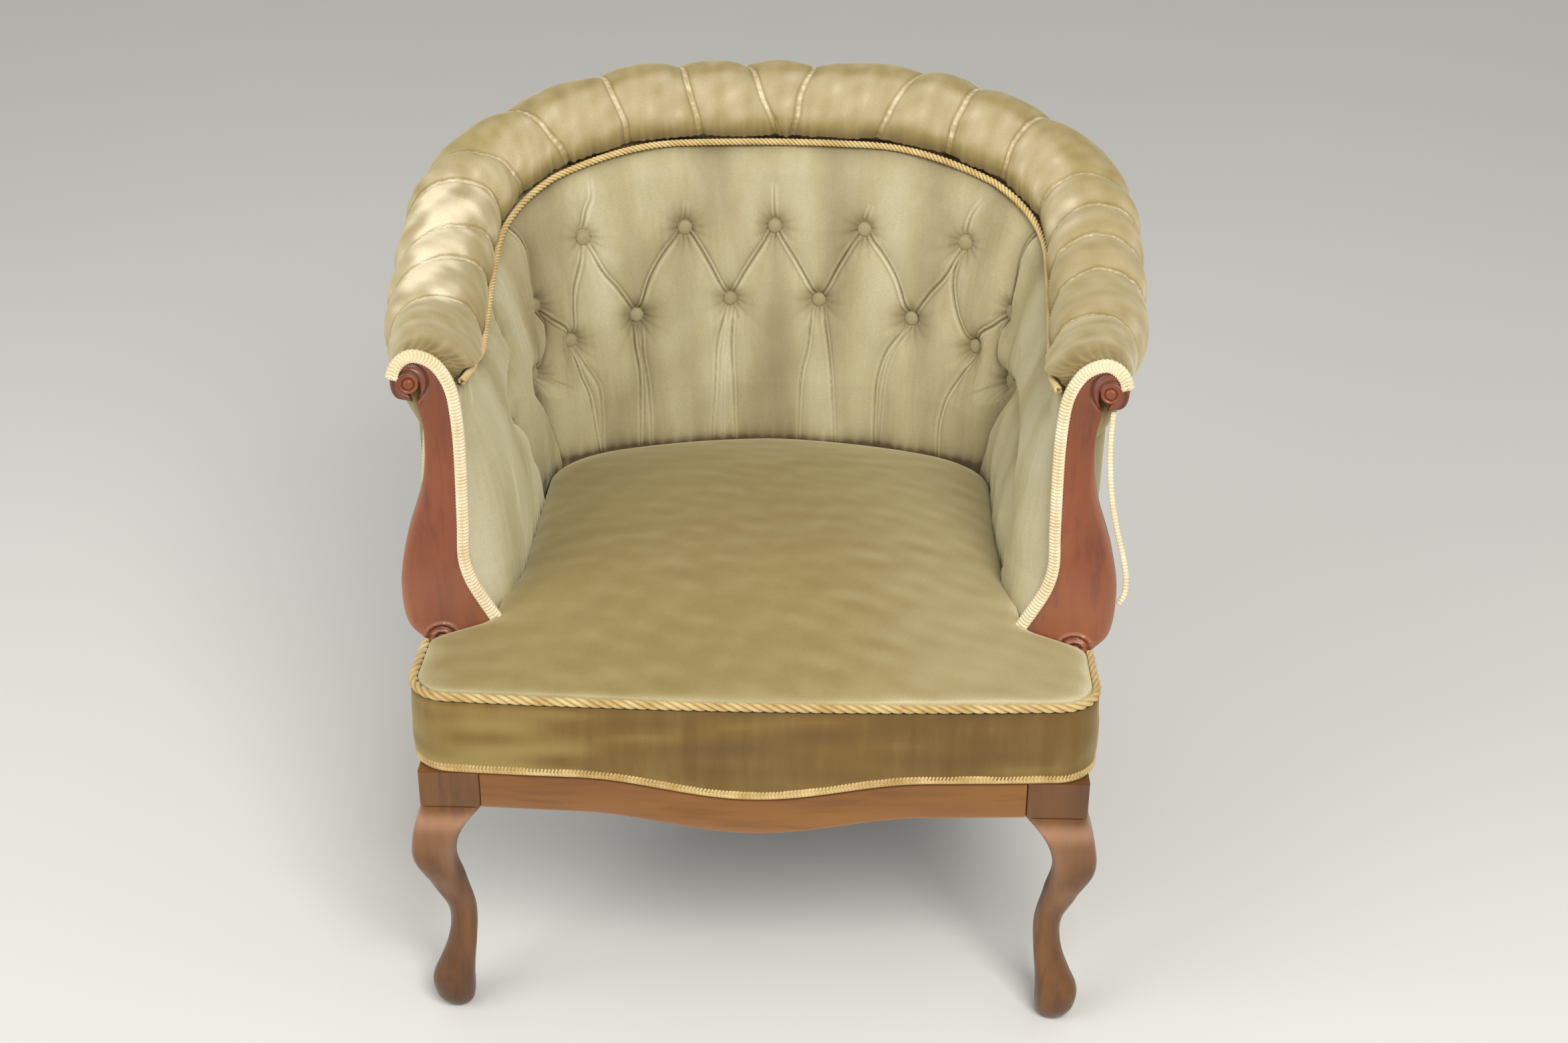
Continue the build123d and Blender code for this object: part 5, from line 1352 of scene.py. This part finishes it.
# %% [markdown]
# ## Carved arm facings
#
# Each facing is a board that leans with the arm. Its inner edge sweeps up and curls over the end
# of the roll into a scroll, and a half rosette is cut near its foot. The board is one band of
# wood between two curves: the long way round outside the scroll, and the short way round its
# eye. Across the band a height is added for the rounded edges and the carving.

# %% The facing's plane
front_section = Stations(np.array([arm_end]))
FOOT = front_section.spot(0.0, SEAT_LEVEL)[0]
ACROSS = np.array([front_section.nx[0], front_section.ny[0], 0.0])
AHEAD = unit(np.cross(ACROSS, front_section.spot(0.0, ARM_HEIGHT)[0] - FOOT))
RISE = np.cross(AHEAD, ACROSS)
FACING_THICK = 16.0
VOLUTE, ROSETTE = np.array([309.0, 573.0]), (290, 337)      # the middles of the carved rounds


def off_facing(plan, ahead):
    """Points ahead of the facing's back plane, from X and height on that plane."""
    rise = (plan[..., 1] - SEAT_LEVEL) / RISE[2]
    across = (plan[..., 0] - FOOT[0] - rise * RISE[0]) / ACROSS[0]
    return (FOOT + across[..., None] * ACROSS + rise[..., None] * RISE
            + np.asarray(ahead)[..., None] * AHEAD)


def around_volute(*places):
    """Points round the scroll's middle, each from its radius and its angle in degrees."""
    radius, turn = np.array(places, float).T
    turn = np.radians(turn)
    return VOLUTE + radius[:, None] * np.stack([np.cos(turn), np.sin(turn)], 1)


INNER_EDGE = [(233, 341), (240, 353), (261.5, 392), (267.2, 420), (267.2, 470), (267.2, 515),
              (270.5, 560)]
OUTER_EDGE = [(303, 336.6), (318, 354), (323, 392), (316, 434), (300, 487), (298, 532), (303, 555)]
long_way = np.concatenate([INNER_EDGE, around_volute(
    (28, 150), (23, 105), (19, 62), (16.4, 20), (16, -42), (16.6, -100))])
short_way = np.concatenate([OUTER_EDGE, around_volute(
    (12.5, -145), (8.2, 165), (7.2, 105), (6.8, 40), (6.8, -30), (8.5, -85))])


def board_edge(points):
    """One edge of the board: the stem's curve, then the scroll's, each at even steps."""
    return np.concatenate([smooth_path(points[:7], 150), smooth_path(points[6:], 110)[1:]])


def facing_band(side):
    """The board's sections, across from the inner edge to the outer one, then behind."""
    long_line, short_line = board_edge(long_way), board_edge(short_way)
    t = np.concatenate([[0, 0.015, 0.04, 0.075], np.linspace(0.12, 0.88, 31),
                        [0.925, 0.96, 0.985, 1]])
    plan = long_line[:, None] + (short_line - long_line)[:, None] * t[:, None]
    width = np.linalg.norm(short_line - long_line, axis=1)[:, None]
    from_edge = np.minimum(t, 1 - t) * width
    eased = np.clip(1 - (1 - np.minimum(from_edge / 4.0, 1)) ** 2, 0, 1)
    height = FACING_THICK - 3.2 * (1 - np.sqrt(eased))
    height = height - 0.9 * smooth_step((from_edge - 5) / 5)
    x, z = plan[..., 0] - ROSETTE[0], plan[..., 1] - ROSETTE[1]
    ring = np.hypot(x, z * 1.08)
    rosette = 1.5 * np.sin(ring / 17 * 2 * math.pi * 2.25 + 0.9) * smooth_step((19 - ring) / 3)
    petals = 0.5 * np.cos(8 * np.arctan2(z, x)) * hump(ring, 6.5, 3)
    x, z = plan[..., 0] - VOLUTE[0], plan[..., 1] - VOLUTE[1]
    reach, turn = np.hypot(x, z), np.arctan2(z, x)
    winding = np.mod(reach - 12.0 + turn * 1.15 + 2.6, 7.2) - 3.6
    spiral = -1.5 * np.exp(-winding ** 2 / 1.6) * smooth_step((23 - reach) / 6)
    height = height + rosette + petals + spiral + 1.0 * smooth_step((17 - reach) / 9)
    back = off_facing(plan[:, [-1, 0]], np.zeros((len(plan), 2)))
    band = np.concatenate([off_facing(plan, height), back], 1) * (side, 1, 1)
    # tone: painted highlights along the rounded edges and on the rosette's rings, painted shade in
    # the carved grooves, darker towards the top and lighter near the foot
    tone = 0.5 * np.exp(-from_edge / 2.5) - 0.55 * np.clip(-(rosette + spiral), 0, 1)
    tone = tone + 0.25 * np.clip(rosette, 0, 1) - 0.4 * smooth_step((plan[..., 1] - 470) / 90)
    tone = tone + 0.15 * smooth_step((430 - plan[..., 1]) / 60)
    return band, np.clip(with_back(tone), -1, 1)


def eye_band(side):
    """The scroll's eye: a flat button inside one engraved ring."""
    turn = full_turn(36)
    radius = np.array([9.0, 9.0, 8.6, 7.8, 6.6, 5.6, 5.1, 4.7, 4.2, 3.0, 1.0])
    lift = column([0.0, 14.6, 15.8, 16.3, 16.1, 15.0, 14.6, 15.6, 16.6, 17.1, 17.3])
    plan = VOLUTE + radius[:, None, None] * np.stack([np.cos(turn), np.sin(turn)], -1)
    return off_facing(plan, lift + 0 * turn) * (side, 1, 1)


for side, hand in SIDES:
    band, tone = facing_band(side)
    eye = eye_band(side)
    tones = [tone, np.full(eye.shape[:2], -0.1)]
    board = solid(f"arm_facing_carved_{hand}", [band, eye], None, tones, sharp=50)
    dress(board, facing_wood, "mahogany", f"arm_facing_{hand}")

# %% Facing braid and the covers' braid
FACING_BRAID = [(240.4, 352.5), (251, 370.5), (262, 391.5), (267.3, 411.5), (267.2, 443.5),
                (267.2, 486), (267.8, 520.5), (269.7, 546.5), (272.6, 564.5), (278, 578),
                (286, 589), (296, 595.5), (306, 597.5), (314.5, 594), (320.5, 587), (323.5, 578)]
BRAID_TILT = math.radians(24)


def facing_braid(side, hand):
    """The braid up the facing's inner edge and over the scroll, tilted from the wood to the pad."""
    plan = smooth_path(np.array(FACING_BRAID, float), 620)
    ahead = unit(np.gradient(plan, axis=0))
    inward = np.stack([ahead[:, 1], -ahead[:, 0]], 1)
    flat = np.zeros(len(plan))
    path = off_facing(plan, flat + (FACING_THICK - 1.9)) * (side, 1, 1)
    across = unit(off_facing(plan + inward, flat) - off_facing(plan, flat)) * (side, 1, 1)
    forward = np.broadcast_to(AHEAD * (side, 1, 1), path.shape)
    braid_side = across * math.cos(BRAID_TILT) + forward * math.sin(BRAID_TILT)
    lift = forward * math.cos(BRAID_TILT) - across * math.sin(BRAID_TILT)
    piece = braid(f"facing_braid_{hand}", path, braid_side, lift, 12.0, 2.4, 3.1)
    dress(piece, cream_braid, "gimp", f"facing_gimp_{hand}")


def cover_braid(side, hand, end_share, start_share=0.26):
    """The braid down the front edge of an outside cover."""
    s = Stations(np.full((1, 1), side * (arm_end - 1.6)))
    count = int(300 * (end_share - start_share)) + 2
    path = cover_point(s, column(np.linspace(start_share, end_share, count)), 1.6)[:, 0]
    lift = unit(0.72 * normals_of(s)[0] + 0.7 * AHEAD * (side, 1, 1))
    lift = np.broadcast_to(lift, path.shape)
    across = unit(np.cross(np.gradient(path, axis=0), lift))
    piece = braid(f"cover_braid_{hand}", path, across, lift)
    dress(piece, cream_braid, "gimp", f"outer_gimp_{hand}")


for side, hand, end_share in ((1, "left", 0.49), (-1, "right", 1.0)):
    facing_braid(side, hand)
    cover_braid(side, hand, end_share)

# %% The loose braid, along its route
line = loose_line * 1000
side, up = cord_frame(line, np.broadcast_to(ACROSS, line.shape))
ring = full_turn(14)
run = along(line)
rib = 1 + 0.12 * np.cos(2 * math.pi * run / 3.2)
flat = np.stack([2.5 * np.cos(ring), 1.5 * np.sin(ring)], 1)
ribbon = flat[:, :1] * side[:, None] + flat[:, 1:] * up[:, None]
band = line[:, None] + rib[:, None, None] * ribbon
# painted shade in the troughs between the ribs
tone = np.broadcast_to(-0.3 * (1 - rib[:, None]) / 0.12, band.shape[:2])
cloth = stacked(run[:, None], ring * 2)
loose = solid("loose_braid", band, cloth, tone, sharp=80)
dress(loose, cream_braid, "gimp", "loose_gimp")

# %% [markdown]
# ## Cabriole front legs
#
# Each front leg starts as a square block at the corner, swells out into a knee, runs in to a slim
# ankle and ends in a round pad. Its section changes from a square to a circle, which a
# superellipse does with one number: x = (w / 2) |cos a|^(2 / n), where n is 2 for a circle and
# about 9 for a square. Width, n and the leg's lean are smooth curves through a few rows.

# %% Front legs
def through(rows, at):
    """Cubic Hermite curves through rows of (place, values...), with slopes from neighbours."""
    rows = np.asarray(rows, float)
    x, y = rows[:, 0], rows[:, 1:]
    slope = np.gradient(y, x, axis=0)
    k = np.clip(np.searchsorted(x, at, side="right") - 1, 0, len(x) - 2)
    h = (x[k + 1] - x[k])[:, None]
    u = ((at - x[k]) / h[:, 0])[:, None]
    return hermite(u, y[k], y[k + 1], h * slope[k], h * slope[k + 1])


# height, width, squareness, distance out along X and along Y
SHANK = [(0, 22, 2.2, 9.5), (2.5, 27, 2.2, 10), (9.6, 34, 2.2, 11.5), (20, 38, 2.2, 12.5),
         (32, 38.5, 2.2, 12.5), (46, 33, 2.2, 9), (65, 27, 2.2, 4.2), (98, 24.5, 2.2, 1.5),
         (138, 31, 2.5, 10.5), (178, 39, 3.0, 19.5), (198, 42.5, 3.8, 15.5),
         (212, 47.5, 5.0, 9.5), (221, 51.5, 7.0, 4.0), (226, 54, 9.0, 1.2), (228, 54.6, 9.0, 0.4)]


def leg_bands(side):
    """The shank as superellipse rings, the block as a bevelled square prism, and the post."""
    middle = BLOCK_OUTER - BLOCK / 2, BLOCK_FRONT + BLOCK / 2
    z = column(np.concatenate([np.linspace(0, 12, 9)[:-1], np.linspace(12, BLOCK_LOW, 110)]))
    width, square, out = through(SHANK, z[:, 0]).T[..., None]
    angle = full_turn(88) + 0.03
    c, s = superellipse(angle, 2 / square)
    shank = stacked(side * (middle[0] + out + width / 2 * c), middle[1] - out + width / 2 * s, z)
    # tone: a painted highlight on the shoulder under the block, painted shade under the foot,
    # darker below the knee, a lighter knee and a random grain
    shade = (0.7 * hump(z, 215, 9) - 0.5 * np.exp(-z / 6) - 0.3 * smooth_step((120 - z) / 80)
             + 0.2 * hump(z, 180, 20) + 0.15 * wander(angle * 20, z, 40, 61))
    z = column([BLOCK_LOW, BLOCK_LOW, 229.2, 231.0, 246.0, 262.0, BORDER_LOW, BORDER_LOW])
    half = BLOCK / 2 - column([1.6, 0.9, 0.2, 0.0, 0.0, 0.0, 0.0, 0.8])
    c, s = superellipse(angle, 2 / 26)
    block = stacked(side * (middle[0] + half * c), middle[1] + half * s, z)
    dark = np.clip(-0.12 + 0.22 * wander(angle * 60, z * 0.3, 6, 62), -1, 0.3)
    edge = front_inside(np.linspace(BLOCK_OUTER - BLOCK, front_line.length - 60, 30), 7.0)
    edge = edge[edge[:, 1] < -280]
    ring = np.concatenate([[(241, -280), (241, -310)], edge, [(edge[-1, 0], -280), (268, -280)]])
    levels = 264.4, 282.0, RAIL_TOP
    post = np.stack([stacked(side * ring[:, 0], ring[:, 1], level) for level in levels])
    return [shank, block, post], [shade, dark, np.full(post.shape[:2], -0.5)]


for side, hand in SIDES:
    bands, shades = leg_bands(side)
    leg = solid(f"cabriole_leg_{hand}", bands, None, shades, sharp=40)
    dress(leg, leg_wood, "mahogany", f"front_leg_{hand}")

# %% [markdown]
# ## Back legs
#
# The back legs are square in section and sweep out behind. The photograph hides them, so their
# line is that of the CAD solids, with the edges eased and the taper made smooth.

# %% Back legs
def back_leg_band(side):
    """Rectangles with eased corners, from the swept foot up the stile to the top rail."""
    a, b = superellipse(full_turn(64) + 0.05, 2 / 22)
    rows = []
    for share in np.linspace(0, 1, 34):
        width = 25 + (36 - 25) * share
        depth, out = min(width, 28.0), 42 * (1 - share) ** 1.6
        st = Stations(side * (LEG_WAY + a * width / 2))
        rows.append(st.sill_spot(out - depth / 2 + b * depth / 2, RAIL_BOTTOM * share))
    st = Stations(side * (LEG_WAY + a * 18))
    rows.append(st.sill_spot(-14 + b * 14, RAIL_TOP))
    head = st.spot(10.25 - 11 + b * 11, st.height - 38.8)
    rows.extend(rows[-1] + (head - rows[-1]) * t for t in np.linspace(0.1, 1, 10))
    return np.stack(rows)


for side, hand in SIDES:
    band = back_leg_band(side)
    tone = 0.2 * wander(band[..., 2], band[..., 0], 60, 63)
    leg = solid(f"swept_leg_{hand}", band, None, tone, sharp=50)
    dress(leg, leg_wood, "mahogany", f"back_leg_{hand}")

# %% [markdown]
# ## Webbing, hessian, dust cloth and the stuffed edge
#
# Under the velvet, jute straps carry the springs and the back, hessian covers them, and a black
# cloth closes the seat from below. They are thin sheets and straps between known lines, so each
# is a closed grid of two faces.

# %% Straps and linings of the back
def thin_band(s, inside, thick, low, high):
    """Two faces parallel to the upright webbing's face, from one height to another."""
    z = low + np.linspace(0, 1, 30) * (high - low)
    face = -web_depth(s, z) - inside
    return np.concatenate([s.spot(face, z), s.spot(face - thick, z)[:, ::-1]], 1)


STRAP_WIDTH, WEB_FOOT = 50.0, 322.0
bands = []
for way in np.linspace(-arm_end + 80, arm_end - 80, 13):
    s = Stations(column(way + STRAP_WIDTH / 2 * np.linspace(-1, 1, 9)))
    bands.append(thin_band(s, 1.0, 1.5, WEB_FOOT, s.height - 31))
straps = solid("back_straps", bands)
dress(straps, webbing, "webbing", "back_webbing")

s = Stations(column(np.linspace(-arm_end + 3, arm_end - 3, 300)))
lining = solid("back_lining", thin_band(s, 3.5, 1.0, WEB_FOOT, s.height - PAD_TOP_BELOW))
dress(lining, hessian, "hessian", "back_hessian")


# %% Straps and linings of the seat
def flat_strap(start, end, z):
    """A strap 1.5 mm thick between two points."""
    start, end = np.array(start), np.array(end)
    ahead = unit(end - start)
    across = STRAP_WIDTH / 2 * np.array([-ahead[1], ahead[0]])
    middle = start + (end - start) * column(np.linspace(0, 1, 60))
    plan = middle[:, None] + across * column(np.linspace(-1, 1, 7))
    return level_slab(plan, z, z - 1.5)


def level_slab(plan, top, bottom):
    """A closed band: a grid of plan points at one height, and back below at another."""
    faces = [np.concatenate([p, np.full(p.shape[:2] + (1,), z)], 2)
             for p, z in ((plan, top), (plan[:, ::-1], bottom))]
    return np.concatenate(faces, 1)


bands = []
for x in 118.75 * np.array([-1.5, -0.5, 0.5, 1.5]):
    rear = sill_line.crown_y + math.sqrt(SILL_CROWN ** 2 - x ** 2) - 14
    bands.append(flat_strap((x, -320.2), (x, rear), 231.7))
for y in (-196.0, -66.0, 64.0):
    reach = float(sill_line.half_width_at(y + 25, 14.0))
    bands.append(flat_strap((-reach, y), (reach, y), 229.9))
straps = solid("seat_straps", bands)
dress(straps, webbing, "webbing", "seat_webbing")


def level_sheet(line, inside, front_half, front, side_start, rear, z, notches=None):
    """A level sheet 1 mm thick. Half its width at each y is the plan line's, or between the
    front legs a width of its own; the notches are round cuts at its sides for the back legs."""
    y = np.unique(np.concatenate([np.linspace(front, side_start - 0.01, 12),
                                  np.linspace(side_start, rear, 150)]))
    half = np.where(y < side_start, front_half, line.half_width_at(y, inside))
    if notches:
        x, middle, radius = notches
        cut = x - np.sqrt(np.maximum(radius ** 2 - (y - middle) ** 2, 0))
        half = np.where(np.abs(y - middle) < radius, np.minimum(half, cut), half)
    plan = stacked(np.linspace(-1, 1, 41) * half[:, None], y[:, None])
    return level_slab(plan, z + 1.0, z)


band = level_sheet(seat_line, 28.0, 235.0, -325.2, -274.0, 209.0, 320.0)
lining = solid("seat_lining", band)
dress(lining, hessian, "hessian", "seat_hessian")

leg_x, leg_y, _ = Stations(np.array([LEG_WAY])).sill_spot(-14.0, 227.1)[0]
band = level_sheet(sill_line, 6.0, 239.0, -325.2, -278.0, 239.0, 227.1, (leg_x, leg_y, 27.0))
under = solid("dust_cover", band)
dress(under, dust_cloth, "dust_cloth", "bottom_cloth")

# %% Stuffed edge on the front rail
c, s = superellipse(full_turn(40), 0.6)
ways = np.linspace(-241, 241, 160)
band = front_spot(column(ways), -FRONT_INSET - 16 + 16 * c, 310 + 9.6 * s)
stuffing = solid("stuffed_edge", band)
dress(stuffing, hessian, "hessian", "edge_roll")

# %% [markdown]
# ## The frame's own wood and springs
#
# The other rails and the blocks keep the shapes of the CAD model, and so do the coil springs.
# They only get finishes: plain beech, and coppered wire.

# %% Finishes on the CAD's own solids
covered = {node for piece in bpy.data.objects for node in piece.get("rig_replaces", [])}
for name, node in frame["nodes"].items():
    if name in covered:
        continue
    finish = coppered if "spring" in name else frame_beech
    if not node.material_slots:
        node.data.materials.append(finish)
    for holder in node.material_slots:
        holder.material = finish
    print("kept from the CAD:", name)

# %% [markdown]
# ## Floor and light
#
# The chair stands on a plain pale floor. A soft key lamp shines from the front, right of the
# middle, and a weaker, broader one fills in from the left, with an even pale surround, so that a
# colour renders about as it is written. A ring of small lamps would give sharper gloss, but the
# photograph's light is broad and soft.

# %% Floor
FLOOR_REACH, FLOOR_BELOW = 30000.0, 0.4
corners = np.array([(x * FLOOR_REACH, y * FLOOR_REACH, -FLOOR_BELOW)
                    for x, y in ((-1, -1), (1, -1), (1, 1), (-1, 1))])
floor = link("floor", write_mesh("floor", corners, [np.array([[0, 1, 2, 3]])]))
paint = Finish("floor_paint", Roughness=0.9, Specular_IOR_Level=0.1)
cloudy = paint.noise(1.2, 2.0)
pale = paint.mix(cloudy, linear(226, 226, 222), linear(232, 232, 229))
floor.data.materials.append(paint.finish(pale, cloudy, 0.02, 0.001))
print("floor", FLOOR_BELOW, "mm under the feet")

# %% Light
bpy.context.scene.view_settings.view_transform = "Standard"
world = bpy.data.worlds.new("studio")
world.use_nodes = True
bpy.context.scene.world = world
surround = world.node_tree.nodes["Background"]
surround.inputs["Color"].default_value = (1.0, 0.985, 0.96, 1.0)
surround.inputs["Strength"].default_value = 0.5


def soft_lamp(name, place, target, size, power, colour):
    """A square area lamp of a given size that faces the target."""
    lamp = bpy.data.lights.new(name, "AREA")
    lamp.size, lamp.energy, lamp.color = size, power, colour
    holder = bpy.data.objects.new(name, lamp)
    z = unit(np.array(place, float) - np.array(target, float))
    x = unit(np.cross((0, 0, 1.0), z))
    turn = Matrix([[a, b, c] for a, b, c in zip(x, np.cross(z, x), z)]).to_4x4()
    holder.matrix_world = Matrix.Translation(place) @ turn
    bpy.context.scene.collection.objects.link(holder)
    print(name, power, "W")


soft_lamp("key_lamp", (0.8, -2.2, 2.4), (0, 0, 0.4), 1.3, 66.0, (1.0, 0.975, 0.93))
soft_lamp("fill_lamp", (-2.1, -1.5, 1.9), (0, 0, 0.4), 2.0, 30.0, (1.0, 0.985, 0.96))
